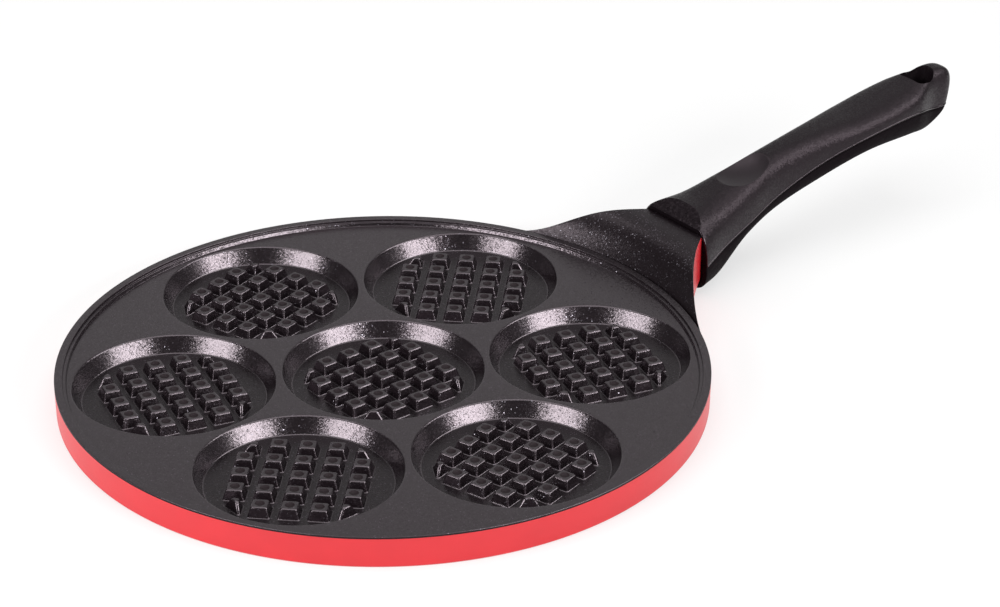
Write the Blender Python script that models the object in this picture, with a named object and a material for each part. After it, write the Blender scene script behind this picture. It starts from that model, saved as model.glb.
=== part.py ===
"""Stovetop waffle pan: a cast plate with seven studded cups and a fixed two-shell handle.

Metres, +Z up. The origin is the centre of the flat underside, and the handle runs along +X.
"""

import math

import bmesh
import bpy
from mathutils import Matrix, Vector

# Fits
GAP = 0.0003
OVERRUN = 0.0010

# Plate and rim
PAN_RADIUS = 0.1325
WALL_DRAFT = 0.0003
DECK_HEIGHT = 0.0114
RIM_HEIGHT = 0.0023
RIM_WIDTH = 0.0032
RIM_STEP = 0.0010
RIM_LEDGE = 0.0010
RIM_FOOT = 0.0006
RIM_EDGE = 0.0005
BASE_EDGE = 0.0012
BASE_EDGE_STEPS = 3
PLATE_SEGMENTS = 96

# Cups
OUTER_CUPS = 6
CUP_RADII_ACROSS = 3
CUP_MARGIN = 0.0015
CUP_WEB = 0.00275
CUP_DEPTH = 0.0065
CUP_WALL_RUN = 0.0038
FIRST_CUP_ANGLE = math.radians(30)
CUP_GRID_TURN = math.radians(15)
CUP_SEGMENTS = 44

# Waffle studs: the pitch is a share of the cup floor's radius, and the rest of the pitch or the top
STUDS_ACROSS = 5
STUD_PITCH_SHARE = 0.30872
STUD_BASE_SHARE = 0.7478
STUD_TOP_SHARE = 0.5478
STUD_HEIGHT = 0.0042
CORNER_STUD_LEG_SHARE = 0.651
DIMPLE_SHARE = 0.5556
DIMPLE_DEPTH = 0.0006
DIMPLE_SIDES = 8

# Neck: the pull at its end is a share of its length, and its lower edge of the deck's height
NECK_ROOT_DEPTH = 0.0006
NECK_LENGTH = 0.0285
NECK_END_SHARE = 0.656
NECK_TOP_RISE = 0.0168
NECK_SHOULDER_RUN = 0.0262
NECK_SHOULDER_POWER = 3.9
NECK_UNDERSIDE = 0.0018
NECK_UNDERSIDE_RISE = 0.0027
NECK_ROOT_HALF_WIDTH = 0.0770
NECK_ROOT_DIRECTION = math.radians(38)
NECK_ROOT_PULL = 0.0136
NECK_END_DIRECTION = math.radians(33)
NECK_END_PULL_SHARE = 1.6246
NECK_TOP_EDGE = 0.0010
NECK_BOTTOM_EDGE_SHARE = 0.4561
NECK_STATIONS = 14
NECK_TOP_STEPS = 8
NECK_CORNER_STEPS = 3

# Tongue that the handle is screwed to: shares of the handle's length and of its mouth's width
TONGUE_LENGTH_SHARE = 0.2688
TONGUE_WIDTH_SHARE = 0.367
TONGUE_THICKNESS = 0.0090
TONGUE_HEIGHT = 0.0160
TONGUE_RISE = 0.0125
TONGUE_ROOT = 0.0060
TONGUE_CORNER = 0.0015
TONGUE_CORNER_STEPS = 2

# Handle outline
MOUTH_OVERLAP = 0.0045
HANDLE_LENGTH = 0.1637
MOUTH_HALF_WIDTH = 0.0218
MOUTH_BOTTOM = 0.0012
MOUTH_SEAM = 0.0150
MOUTH_TOP = 0.0358
TOP_RISE = 0.0239
SEAM_RISE = 0.0302
BOTTOM_RISE = 0.0384
END_ROUNDING = 0.0300
END_LEAN = 0.0068
MOUTH_BLEND = 0.0305
UPPER_MOUTH_FULLNESS = 2.3
UPPER_FULLNESS = 3.8
LOWER_MOUTH_FULLNESS = 3.5
LOWER_FULLNESS = 2.5
END_FULLNESS = 2.5
END_FACE_FULLNESS = 4.4
LAST_RING_TURN = math.radians(84)
SHELL_WALL = 0.0030
SEAM_STEP = 0.0004
HANDLE_STATIONS = 20
END_STATIONS = 7
HALF_STEPS = 16

# Share of the length, then shares of half width, top rise, seam rise and bottom rise
HANDLE_LINE_SHARES = (
    (0.000, 1.000, 0.000, 0.000, 0.000),
    (0.090, 0.775, -0.011, 0.105, -0.012),
    (0.200, 0.609, 0.152, 0.262, 0.313),
    (0.320, 0.467, 0.367, 0.461, 0.484),
    (0.475, 0.492, 0.514, 0.726, 0.638),
    (0.640, 0.613, 0.601, 0.925, 0.790),
    (0.810, 0.603, 0.780, 0.993, 0.792),
    (0.905, 0.402, 0.939, 0.875, 0.762),
    (1.000, 0.563, 1.000, 0.850, 0.970),
)

# Handle details
FACET_LIP = 0.0018
FACET_RUN = 0.0058
FACET_RISE = 0.0050
DISH_PLACE = 0.0391
DISH_LENGTH = 0.0250
DISH_DEPTH = 0.0027
HANG_HOLE_INSET = 0.0207
HANG_HOLE_FRONT = 0.0048
HANG_HOLE_BACK = 0.0077
HANG_HOLE_WIDTH_SHARE = 0.3532
HANG_HOLE_CORNER = 0.0028
HANG_HOLE_BACK_STEPS = 12
HANG_HOLE_CORNER_STEPS = 3
HANG_HOLE_WEB = 0.0102
MOUTH_WEB = 0.0032

# Gasket between the neck and the handle
GASKET_THICKNESS = 0.0010
GASKET_INSET = 0.0012
GASKET_CORNER = 0.0030
GASKET_CORNER_STEPS = 3

# Handle screw and what sits round it
SCREW_PLACE = 0.0165
SCREW_RADIUS = 0.0025
SCREW_HEAD_RADIUS = 0.00475
SCREW_HEAD_HEIGHT = 0.0030
SCREW_HEAD_EDGE = 0.0008
SCREW_SOCKET_RADIUS = 0.0020
SCREW_SOCKET_DEPTH = 0.0017
SCREW_SOCKET_SIDES = 6
SCREW_TIP_INSET = 0.0005
SCREW_SEAT_FLOOR = 0.0026
SCREW_BOSS_RADIUS = 0.0078
WASHER_RADIUS = 0.0050
WASHER_THICKNESS = 0.0010
SPRING_WASHER_RADIUS = 0.0046
SPRING_WASHER_THICKNESS = 0.0012
SPRING_WASHER_SPLIT = math.radians(14)
INSERT_RADIUS = 0.00375
INSERT_LENGTH = 0.0064
COUNTERBORE_CLEARANCE = 0.0004
FASTENER_SEGMENTS = 16
SHELL_SCREW_SEGMENTS = 10

# Screws that join the two shells, as shares of the way from the tongue's tip to the hollow's end
SHELL_SCREW_SHARES = {"shell_screw_front": 0.258, "shell_screw_rear": 0.836}
SHELL_SCREW_RADIUS = 0.00145
SHELL_SCREW_HEAD_RADIUS = 0.0028
SHELL_SCREW_HEAD_HEIGHT = 0.0020
SHELL_SCREW_LENGTH = 0.0125
SHELL_SCREW_POINT = 0.0016
SHELL_SCREW_TIP_RADIUS = 0.0004
SHELL_SCREW_SEAT = 0.0042
SHELL_BOSS_RADIUS = 0.0038

# Colours, linear
NONSTICK_BLACK = (0.055, 0.050, 0.054, 1.0)
ENAMEL_RED = (0.62, 0.030, 0.035, 1.0)
HANDLE_BLACK = (0.022, 0.019, 0.021, 1.0)
ZINC = (0.60, 0.60, 0.61, 1.0)
BRASS = (0.68, 0.50, 0.22, 1.0)
GASKET_GREY = (0.30, 0.29, 0.27, 1.0)

# Places that follow from the sizes above
RIM_TOP = DECK_HEIGHT + RIM_HEIGHT
DECK_RADIUS = PAN_RADIUS - RIM_WIDTH - RIM_FOOT / 2 - RIM_LEDGE - RIM_FOOT
CUP_RADIUS = (DECK_RADIUS - CUP_MARGIN - CUP_WEB) / CUP_RADII_ACROSS
CUP_RING_RADIUS = 2 * CUP_RADIUS + CUP_WEB
CUP_FLOOR = DECK_HEIGHT - CUP_DEPTH
CUP_FLOOR_RADIUS = CUP_RADIUS - CUP_WALL_RUN
STUD_PITCH = CUP_FLOOR_RADIUS * STUD_PITCH_SHARE
STUD_BASE = STUD_PITCH * STUD_BASE_SHARE
STUD_TOP = STUD_PITCH * STUD_TOP_SHARE
CORNER_STUD_LEG = STUD_TOP * CORNER_STUD_LEG_SHARE
DIMPLE_WIDTH = STUD_TOP * DIMPLE_SHARE
NECK_END = PAN_RADIUS + NECK_LENGTH
NECK_END_HALF_WIDTH = MOUTH_HALF_WIDTH * NECK_END_SHARE
NECK_END_PULL = NECK_LENGTH * NECK_END_PULL_SHARE
NECK_BOTTOM_EDGE = DECK_HEIGHT * NECK_BOTTOM_EDGE_SHARE
MOUTH_X = NECK_END - MOUTH_OVERLAP
HANDLE_END = MOUTH_X + HANDLE_LENGTH
POCKET_END = NECK_END + GASKET_THICKNESS + 2 * GAP
CORE_START = POCKET_END + MOUTH_WEB
TONGUE_HALF_WIDTH = MOUTH_HALF_WIDTH * TONGUE_WIDTH_SHARE
TONGUE_LENGTH = HANDLE_LENGTH * TONGUE_LENGTH_SHARE
TONGUE_END = NECK_END + TONGUE_LENGTH
SCREW_X = MOUTH_X + SCREW_PLACE
HANG_HOLE_X = HANDLE_END - HANG_HOLE_INSET
HANG_HOLE_HALF_WIDTH = MOUTH_HALF_WIDTH * HANG_HOLE_WIDTH_SHARE
CORE_END = HANG_HOLE_X - HANG_HOLE_FRONT - HANG_HOLE_WEB
SHELL_SCREW_PLACES = {
    name: TONGUE_END + (CORE_END - TONGUE_END) * share
    for name, share in SHELL_SCREW_SHARES.items()
}


def clear_scene():
    for thing in list(bpy.data.objects):
        bpy.data.objects.remove(thing, do_unlink=True)


def finish_material(name, colour, roughness, metallic=0.0):
    made = bpy.data.materials.new(name)
    made.use_nodes = True
    shader = made.node_tree.nodes["Principled BSDF"]
    shader.inputs["Base Color"].default_value = colour
    shader.inputs["Roughness"].default_value = roughness
    shader.inputs["Metallic"].default_value = metallic
    made.diffuse_color = colour
    return made


def place_mesh(name, bm, *finishes):
    """Turn a bmesh into a named object with its faces pointing out."""
    bmesh.ops.recalc_face_normals(bm, faces=bm.faces)
    mesh = bpy.data.meshes.new(name)
    bm.to_mesh(mesh)
    bm.free()
    for finish in finishes:
        mesh.materials.append(finish)
    thing = bpy.data.objects.new(name, mesh)
    bpy.context.scene.collection.objects.link(thing)
    return thing


def shade_round(thing, angle=math.radians(35)):
    thing.data.shade_smooth()
    thing.data.set_sharp_from_angle(angle=angle)


def as_cutter(thing):
    thing.hide_render = True
    thing.display_type = "WIRE"
    return thing


def combine(thing, other, operation):
    change = thing.modifiers.new(other.name, "BOOLEAN")
    change.operation = operation
    change.object = as_cutter(other)
    change.solver = "EXACT"


def cut(thing, cutter):
    combine(thing, cutter, "DIFFERENCE")


def add_ring(bm, points):
    return [bm.verts.new(point) for point in points]


def bridge(bm, ring, following):
    """Join two rings of equally many corners with a band of faces."""
    count = len(ring)
    for i in range(count):
        after = (i + 1) % count
        bm.faces.new((ring[i], ring[after], following[after], following[i]))


def loft(bm, rings):
    """Skin a row of rings and close both ends."""
    made = [add_ring(bm, ring) for ring in rings]
    for ring, following in zip(made, made[1:]):
        bridge(bm, ring, following)
    bm.faces.new(made[0])
    bm.faces.new(made[-1])


def circle(radius, height, segments, centre=(0.0, 0.0), start=0.0):
    turn = 2 * math.pi / segments
    return [
        Vector((centre[0] + radius * math.cos(start + i * turn),
                centre[1] + radius * math.sin(start + i * turn),
                height))
        for i in range(segments)
    ]


def turned(bm, profile, segments, centre=(0.0, 0.0)):
    """Turn a profile of (radius, height) round a vertical axis and close its ends."""
    loft(bm, [circle(radius, height, segments, centre) for radius, height in profile])


def turned_ring(bm, outer, inner, low, high, segments, centre):
    """Turn a plain tube or washer round a vertical axis."""
    corners = ((outer, low), (outer, high), (inner, high), (inner, low))
    rings = [add_ring(bm, circle(radius, height, segments, centre)) for radius, height in corners]
    for ring, following in zip(rings, rings[1:] + rings[:1]):
        bridge(bm, ring, following)


def prism(bm, outline, direction):
    """Push a flat outline along a direction and close both ends."""
    loft(bm, [outline, [point + direction for point in outline]])


def arc(centre, radius_x, radius_y, start, end, steps):
    """Points on a stretch of an ellipse, both ends included."""
    return [
        (centre[0] + radius_x * math.cos(start + (end - start) * i / steps),
         centre[1] + radius_y * math.sin(start + (end - start) * i / steps))
        for i in range(steps + 1)
    ]


def rounded_rectangle(half_width, low, high, corner, steps):
    """A flat outline of (y, z) pairs, centred across and set by its lowest and highest edge."""
    quarter = math.pi / 2
    inner = half_width - corner
    spots = ((inner, high - corner), (-inner, high - corner), (-inner, low + corner), (inner, low + corner))
    outline = []
    for i, spot in enumerate(spots):
        outline += arc(spot, corner, corner, i * quarter, (i + 1) * quarter, steps)
    return outline


def bezier(points, share):
    """A point on a cubic curve given by its two ends and two pulls."""
    rest = 1 - share
    weights = (rest ** 3, 3 * rest ** 2 * share, 3 * rest * share ** 2, share ** 3)
    return (
        sum(weight * point[0] for weight, point in zip(weights, points)),
        sum(weight * point[1] for weight, point in zip(weights, points)),
    )


# Plate, rim and cups

def plate_profile():
    """Profile from the centre of the underside, round the rim and back over the deck."""
    low_radius = PAN_RADIUS - WALL_DRAFT
    base = arc((low_radius - BASE_EDGE, BASE_EDGE), BASE_EDGE, BASE_EDGE,
               -math.pi / 2, 0.0, BASE_EDGE_STEPS)
    inner_top = PAN_RADIUS - RIM_WIDTH
    ledge_outer = inner_top - RIM_FOOT / 2
    ledge_inner = ledge_outer - RIM_LEDGE
    ledge_height = RIM_TOP - RIM_STEP
    return base + [
        (PAN_RADIUS, RIM_TOP - RIM_EDGE),
        (PAN_RADIUS - RIM_EDGE, RIM_TOP),
        (inner_top, RIM_TOP),
        (ledge_outer, ledge_height),
        (ledge_inner, ledge_height),
        (DECK_RADIUS, DECK_HEIGHT),
    ]


def plate_mesh(bm):
    """The turned plate: its base and wall are red, and everything from the rim in is black."""
    turned(bm, plate_profile(), PLATE_SEGMENTS)
    for face in bm.faces:
        middle = face.calc_center_median()
        outside = math.hypot(middle.x, middle.y) > PAN_RADIUS - RIM_EDGE
        below = middle.z < DECK_HEIGHT / 2
        face.material_index = 1 if outside or below else 0


def stud_rings(column, row):
    """Base and top outline of one stud, as (x, y) pairs, and whether it keeps its dimple."""
    reach = STUDS_ACROSS // 2
    middle = Vector((column * STUD_PITCH, row * STUD_PITCH))
    if abs(column) == reach and abs(row) == reach:
        side = Vector((math.copysign(1, column), math.copysign(1, row)))
        flank = (STUD_BASE - STUD_TOP) / 2
        base_leg = CORNER_STUD_LEG + (2 + math.sqrt(2)) * flank
        rings = []
        for width, leg in ((STUD_BASE, base_leg), (STUD_TOP, CORNER_STUD_LEG)):
            corner = middle - side * width / 2
            ring = [corner, corner + Vector((side.x * leg, 0.0)), corner + Vector((0.0, side.y * leg))]
            rings.append(ring if side.x * side.y > 0 else ring[::-1])
        return rings[0], rings[1], False
    signs = ((1, 1), (-1, 1), (-1, -1), (1, -1))
    base, top = (
        [middle + Vector((x, y)) * width / 2 for x, y in signs]
        for width in (STUD_BASE, STUD_TOP)
    )
    return base, top, True


def add_stud(bm, column, row):
    """Add the flanks and top of one stud, and return the edges of its base."""
    base_points, top_points, dimpled = stud_rings(column, row)
    top_height = CUP_FLOOR + STUD_HEIGHT
    base = add_ring(bm, [(p.x, p.y, CUP_FLOOR) for p in base_points])
    top = add_ring(bm, [(p.x, p.y, top_height) for p in top_points])
    bridge(bm, base, top)
    if dimpled:
        centre = (column * STUD_PITCH, row * STUD_PITCH)
        dimple = add_ring(bm, circle(DIMPLE_WIDTH / 2, top_height, DIMPLE_SIDES, centre,
                                     math.pi / DIMPLE_SIDES))
        per_side = DIMPLE_SIDES // 4
        for side in range(4):
            first = side * per_side
            spots = [dimple[(first + i) % DIMPLE_SIDES] for i in range(per_side + 1)]
            bm.faces.new([top[side], top[(side + 1) % 4]] + spots[::-1])
        bottom = bm.verts.new((*centre, top_height - DIMPLE_DEPTH))
        for i in range(DIMPLE_SIDES):
            bm.faces.new((dimple[i], dimple[(i + 1) % DIMPLE_SIDES], bottom))
    else:
        bm.faces.new(top)
    return [bm.edges.get((base[i], base[(i + 1) % len(base)])) for i in range(len(base))]


def cup_space_mesh():
    """The space in one cup: a tapered disc with a pit wherever a stud stands."""
    bm = bmesh.new()
    slope = CUP_WALL_RUN / CUP_DEPTH
    floor = add_ring(bm, circle(CUP_FLOOR_RADIUS, CUP_FLOOR, CUP_SEGMENTS))
    mouth = add_ring(bm, circle(CUP_RADIUS + OVERRUN * slope, DECK_HEIGHT + OVERRUN, CUP_SEGMENTS))
    bridge(bm, floor, mouth)
    bm.faces.new(mouth)
    borders = [bm.edges.get((floor[i], floor[(i + 1) % CUP_SEGMENTS])) for i in range(CUP_SEGMENTS)]
    reach = STUDS_ACROSS // 2
    for column in range(-reach, reach + 1):
        for row in range(-reach, reach + 1):
            borders += add_stud(bm, column, row)
    bmesh.ops.triangle_fill(bm, use_beauty=True, edges=borders)
    bmesh.ops.recalc_face_normals(bm, faces=bm.faces)
    mesh = bpy.data.meshes.new("cup_space")
    bm.to_mesh(mesh)
    bm.free()
    return mesh


def cup_places():
    """Centre and turn of each cup: one in the middle and a ring of others round it."""
    places = [(0.0, 0.0, 0.0)]
    for i in range(OUTER_CUPS):
        angle = FIRST_CUP_ANGLE + i * 2 * math.pi / OUTER_CUPS
        places.append((CUP_RING_RADIUS * math.cos(angle), CUP_RING_RADIUS * math.sin(angle),
                       angle + CUP_GRID_TURN))
    return places


# Neck and tongue

def neck_top_height(radius):
    """Height of the neck's top at a distance from the pan's centre: steep, then level."""
    share = min((radius - PAN_RADIUS) / NECK_SHOULDER_RUN, 1.0)
    return DECK_HEIGHT + NECK_TOP_RISE * (1 - (1 - share) ** NECK_SHOULDER_POWER)


def neck_bottom_height(radius):
    share = max((radius - PAN_RADIUS) / NECK_LENGTH, 0.0)
    return NECK_UNDERSIDE + NECK_UNDERSIDE_RISE * share ** 2


def neck_edge():
    """Ends and pulls of the curve that the neck's side follows in plan."""
    root_radius = PAN_RADIUS - NECK_ROOT_DEPTH
    root = (math.sqrt(root_radius ** 2 - NECK_ROOT_HALF_WIDTH ** 2), NECK_ROOT_HALF_WIDTH)
    end = (NECK_END, NECK_END_HALF_WIDTH)
    root_pull = (root[0] + NECK_ROOT_PULL * math.cos(NECK_ROOT_DIRECTION),
                 root[1] - NECK_ROOT_PULL * math.sin(NECK_ROOT_DIRECTION))
    end_pull = (end[0] - NECK_END_PULL * math.cos(NECK_END_DIRECTION),
                end[1] + NECK_END_PULL * math.sin(NECK_END_DIRECTION))
    return root, root_pull, end_pull, end


def neck_ring(share, clearance):
    """One section of the neck, bowed like the rim at its root and straight at its end."""
    edge = neck_edge()
    edge_x, edge_y = bezier(edge, share)
    edge_y += clearance
    root_x = edge[0][0]
    share_left = (NECK_END - edge_x) / (NECK_END - root_x)
    bow = (PAN_RADIUS - NECK_ROOT_DEPTH - root_x) * share_left ** 2

    def spot(y):
        return edge_x + bow * (1 - (y / edge_y) ** 2)

    def lower(y, drop):
        return Vector((spot(y), y, neck_bottom_height(math.hypot(spot(y), y)) - clearance + drop))

    def upper(y, drop):
        return Vector((spot(y), y, neck_top_height(math.hypot(spot(y), y)) + clearance - drop))

    top_half = edge_y - NECK_TOP_EDGE
    bottom_half = edge_y - NECK_BOTTOM_EDGE
    turn = math.pi / 2 / NECK_CORNER_STEPS
    ring = [upper(top_half * (1 - 2 * i / NECK_TOP_STEPS), 0.0) for i in range(NECK_TOP_STEPS + 1)]
    for i in range(1, NECK_CORNER_STEPS + 1):
        ring.append(upper(-top_half - NECK_TOP_EDGE * math.sin(i * turn),
                          NECK_TOP_EDGE * (1 - math.cos(i * turn))))
    for i in range(NECK_CORNER_STEPS + 1):
        ring.append(lower(-bottom_half - NECK_BOTTOM_EDGE * math.cos(i * turn),
                          NECK_BOTTOM_EDGE * (1 - math.sin(i * turn))))
    for i in range(1, NECK_TOP_STEPS):
        ring.append(lower(-bottom_half * (1 - 2 * i / NECK_TOP_STEPS), 0.0))
    for i in range(NECK_CORNER_STEPS + 1):
        ring.append(lower(bottom_half + NECK_BOTTOM_EDGE * math.sin(i * turn),
                          NECK_BOTTOM_EDGE * (1 - math.cos(i * turn))))
    for i in range(NECK_CORNER_STEPS):
        ring.append(upper(top_half + NECK_TOP_EDGE * math.cos(i * turn),
                          NECK_TOP_EDGE * (1 - math.sin(i * turn))))
    return ring


def neck_rings(clearance=0.0, reach=0.0):
    """Sections of the neck, from a flat one buried in the plate to its end and past it."""
    rings = [neck_ring(i / NECK_STATIONS, clearance) for i in range(NECK_STATIONS + 1)]
    buried_x = neck_edge()[0][0] - NECK_ROOT_DEPTH
    rings.insert(0, [Vector((buried_x, point.y, point.z)) for point in rings[0]])
    if reach:
        rings.append([point + Vector((reach, 0.0, 0.0)) for point in rings[-1]])
    return rings


def tongue_middle(x):
    return TONGUE_HEIGHT + (x - NECK_END) * TONGUE_RISE / TONGUE_LENGTH


def tongue_rings(clearance=0.0):
    """The tongue rises from inside the neck's end to its own tip."""
    half = TONGUE_THICKNESS / 2 + clearance
    rings = []
    for x in (NECK_END - TONGUE_ROOT, TONGUE_END + clearance):
        middle = tongue_middle(x)
        outline = rounded_rectangle(TONGUE_HALF_WIDTH + clearance, middle - half, middle + half,
                                    TONGUE_CORNER, TONGUE_CORNER_STEPS)
        rings.append([Vector((x, y, z)) for y, z in outline])
    return rings


def make_casting(black, red):
    bm = bmesh.new()
    plate_mesh(bm)
    casting = place_mesh("pan_casting", bm, black, red)

    bm = bmesh.new()
    loft(bm, neck_rings())
    for face in bm.faces:
        middle = face.calc_center_median()
        on_top = middle.z > neck_top_height(math.hypot(middle.x, middle.y)) - NECK_TOP_EDGE / 2
        face.material_index = 0 if on_top else 1
    combine(casting, place_mesh("neck_block", bm, black, red), "UNION")

    bm = bmesh.new()
    loft(bm, tongue_rings())
    for face in bm.faces:
        face.material_index = 1
    combine(casting, place_mesh("tongue_block", bm, black, red), "UNION")

    space = cup_space_mesh()
    space.materials.append(black)
    for number, (x, y, turn) in enumerate(cup_places()):
        cup = bpy.data.objects.new(f"cup_space_{number}", space)
        bpy.context.scene.collection.objects.link(cup)
        cup.location = (x, y, 0.0)
        cup.rotation_euler = (0.0, 0.0, turn)
        cut(casting, cup)

    bm = bmesh.new()
    middle = tongue_middle(SCREW_X)
    turned(bm, [(INSERT_RADIUS + GAP, middle - TONGUE_THICKNESS),
                (INSERT_RADIUS + GAP, middle + TONGUE_THICKNESS)],
           FASTENER_SEGMENTS, (SCREW_X, 0.0))
    cut(casting, place_mesh("insert_bore", bm))
    shade_round(casting)


# Handle shells

def handle_value(column, x):
    """Read one column of the handle's lines as a smooth curve at a place along X."""
    share = (x - MOUTH_X) / HANDLE_LENGTH
    rows = HANDLE_LINE_SHARES
    last = len(rows) - 1
    i = 0
    while i < last - 1 and rows[i + 1][0] < share:
        i += 1

    def slope(k):
        low, high = max(k - 1, 0), min(k + 1, last)
        return (rows[high][column] - rows[low][column]) / (rows[high][0] - rows[low][0])

    span = rows[i + 1][0] - rows[i][0]
    t = (share - rows[i][0]) / span
    return (
        (2 * t ** 3 - 3 * t ** 2 + 1) * rows[i][column]
        + (t ** 3 - 2 * t ** 2 + t) * span * slope(i)
        + (3 * t ** 2 - 2 * t ** 3) * rows[i + 1][column]
        + (t ** 3 - t ** 2) * span * slope(i + 1)
    )


def half_width(x):
    return MOUTH_HALF_WIDTH * handle_value(1, x)


def top_line(x):
    return MOUTH_TOP + TOP_RISE * handle_value(2, x)


def seam_line(x):
    return MOUTH_SEAM + SEAM_RISE * handle_value(3, x)


def bottom_line(x):
    return MOUTH_BOTTOM + BOTTOM_RISE * handle_value(4, x)


def handle_places():
    """Places along X for the sections, each with its share of the way round the end."""
    straight_end = HANDLE_END - END_ROUNDING
    places = [
        (MOUTH_X + (straight_end - MOUTH_X) * i / HANDLE_STATIONS, 0.0)
        for i in range(HANDLE_STATIONS)
    ]
    for i in range(END_STATIONS + 1):
        share = math.sin(LAST_RING_TURN * i / END_STATIONS)
        places.append((straight_end + END_ROUNDING * share, share))
    return places


def taper(share, fullness):
    """How much of a size is left at a share of the way round a full, blunt end."""
    return (1 - share ** fullness) ** (1 / fullness)


def half_section(x, width, middle, height):
    """Half of a full oval at a place along X, from its +Y side over to its -Y side."""
    blend = max(1 - (x - MOUTH_X) / MOUTH_BLEND, 0.0) ** 2
    if height > 0:
        fullness = UPPER_FULLNESS + (UPPER_MOUTH_FULLNESS - UPPER_FULLNESS) * blend
    else:
        fullness = LOWER_FULLNESS + (LOWER_MOUTH_FULLNESS - LOWER_FULLNESS) * blend
    power = 2 / fullness
    points = []
    for i in range(HALF_STEPS + 1):
        angle = math.pi * i / HALF_STEPS
        across = math.copysign(abs(math.cos(angle)) ** power, math.cos(angle))
        points.append(Vector((x, width * across, middle + height * abs(math.sin(angle)) ** power)))
    return points


def shell_rings(upper):
    """Sections of one shell. Round the end they lean back, the more the lower a point lies."""
    rings = []
    for x, share in handle_places():
        seam = seam_line(x)
        top = top_line(x)
        bottom = bottom_line(x)
        if upper:
            width = half_width(x)
            middle = seam + GAP / 2
            height = top - seam
        else:
            width = half_width(x) - SEAM_STEP
            middle = seam - GAP / 2
            height = bottom - seam
        ring = half_section(x, width * taper(share, END_FULLNESS), middle,
                            height * taper(share, END_FACE_FULLNESS))
        for point in ring:
            point.x -= END_LEAN * share ** 2 * (top - point.z) / (top - bottom)
        rings.append(ring)
    return rings


def core_rings():
    """Sections of the hollow inside the handle, one wall in from the outside."""
    steps = HANDLE_STATIONS // 2
    rings = []
    for i in range(steps + 1):
        x = CORE_START + (CORE_END - CORE_START) * i / steps
        seam = seam_line(x)
        width = half_width(x) - SEAM_STEP - SHELL_WALL
        over = half_section(x, width, seam, top_line(x) - SHELL_WALL - seam)
        under = half_section(x, width, seam, bottom_line(x) + SHELL_WALL - seam)
        rings.append(over[::2] + under[-3:0:-2])
    return rings


def cylinder_cutter(name, x, radius, low, high):
    bm = bmesh.new()
    turned(bm, [(radius, low), (radius, high)], FASTENER_SEGMENTS, (x, 0.0))
    return place_mesh(name, bm)


def hollow():
    """The air inside the handle, with columns left out of it where the screw bosses stand."""
    bm = bmesh.new()
    loft(bm, core_rings())
    air = place_mesh("handle_air", bm)
    bosses = [("screw_boss", SCREW_X, SCREW_BOSS_RADIUS)]
    for name, x in SHELL_SCREW_PLACES.items():
        bosses.append((name + "_boss", x, SHELL_BOSS_RADIUS))
    for name, x, radius in bosses:
        cut(air, cylinder_cutter(name, x, radius, bottom_line(x), top_line(x)))
    cut(air, dish_cutter("dish_backing", SHELL_WALL))
    return as_cutter(air)


def facet_cutter():
    """Wedge that slopes the front of the handle back from the neck's top."""
    foot = neck_top_height(NECK_END) + GAP + FACET_LIP
    slope = FACET_RUN / FACET_RISE
    height = 2 * FACET_RISE
    reach = 2 * MOUTH_HALF_WIDTH
    outline = [
        Vector((MOUTH_X - OVERRUN, -reach, foot)),
        Vector((MOUTH_X, -reach, foot)),
        Vector((MOUTH_X + height * slope, -reach, foot + height)),
        Vector((MOUTH_X - OVERRUN, -reach, foot + height)),
    ]
    bm = bmesh.new()
    prism(bm, outline, Vector((0.0, 2 * reach, 0.0)))
    return place_mesh("facet_cutter", bm)


def dish_cutter(name, backing=0.0):
    """Roller that hollows the thumb dish into the handle's top, or a larger one that backs it."""
    x = MOUTH_X + DISH_PLACE
    half = DISH_LENGTH / 2
    rise = top_line(x + half) - top_line(x - half)
    lean = math.atan2(rise, DISH_LENGTH)
    radius = (half ** 2 + DISH_DEPTH ** 2) / (2 * DISH_DEPTH)
    lift = radius - DISH_DEPTH
    centre = Vector((x - lift * math.sin(lean), 0.0, top_line(x) + lift * math.cos(lean)))
    reach = Vector((0.0, MOUTH_HALF_WIDTH, 0.0))
    outline = [
        centre - reach + Vector((point.x, 0.0, point.y))
        for point in circle(radius + backing, 0.0, PLATE_SEGMENTS)
    ]
    bm = bmesh.new()
    prism(bm, outline, 2 * reach)
    return place_mesh(name, bm)


def hang_hole_cutter():
    """Hole with a straight front edge and a round back, right through the handle's end."""
    x = HANG_HOLE_X
    quarter = math.pi / 2
    corner = HANG_HOLE_CORNER
    width = HANG_HOLE_HALF_WIDTH
    front = x - HANG_HOLE_FRONT + corner
    outline = arc((x, 0.0), HANG_HOLE_BACK, width, -quarter, quarter, HANG_HOLE_BACK_STEPS)
    outline += arc((front, width - corner), corner, corner, quarter, 2 * quarter,
                   HANG_HOLE_CORNER_STEPS)
    outline += arc((front, corner - width), corner, corner, 2 * quarter, 3 * quarter,
                   HANG_HOLE_CORNER_STEPS)
    low = bottom_line(x) - SHELL_WALL
    height = top_line(x) + 2 * SHELL_WALL - low
    bm = bmesh.new()
    prism(bm, [Vector((px, py, low)) for px, py in outline], Vector((0.0, 0.0, height)))
    return place_mesh("hang_hole_cutter", bm)


def screw_seat():
    """Height of the shelf that the handle screw pulls against, under the tongue."""
    return tongue_middle(SCREW_X) - TONGUE_THICKNESS / 2 - GAP - SCREW_SEAT_FLOOR


def shell_screw_seat(x):
    return bottom_line(x) + SHELL_SCREW_SEAT


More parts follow.
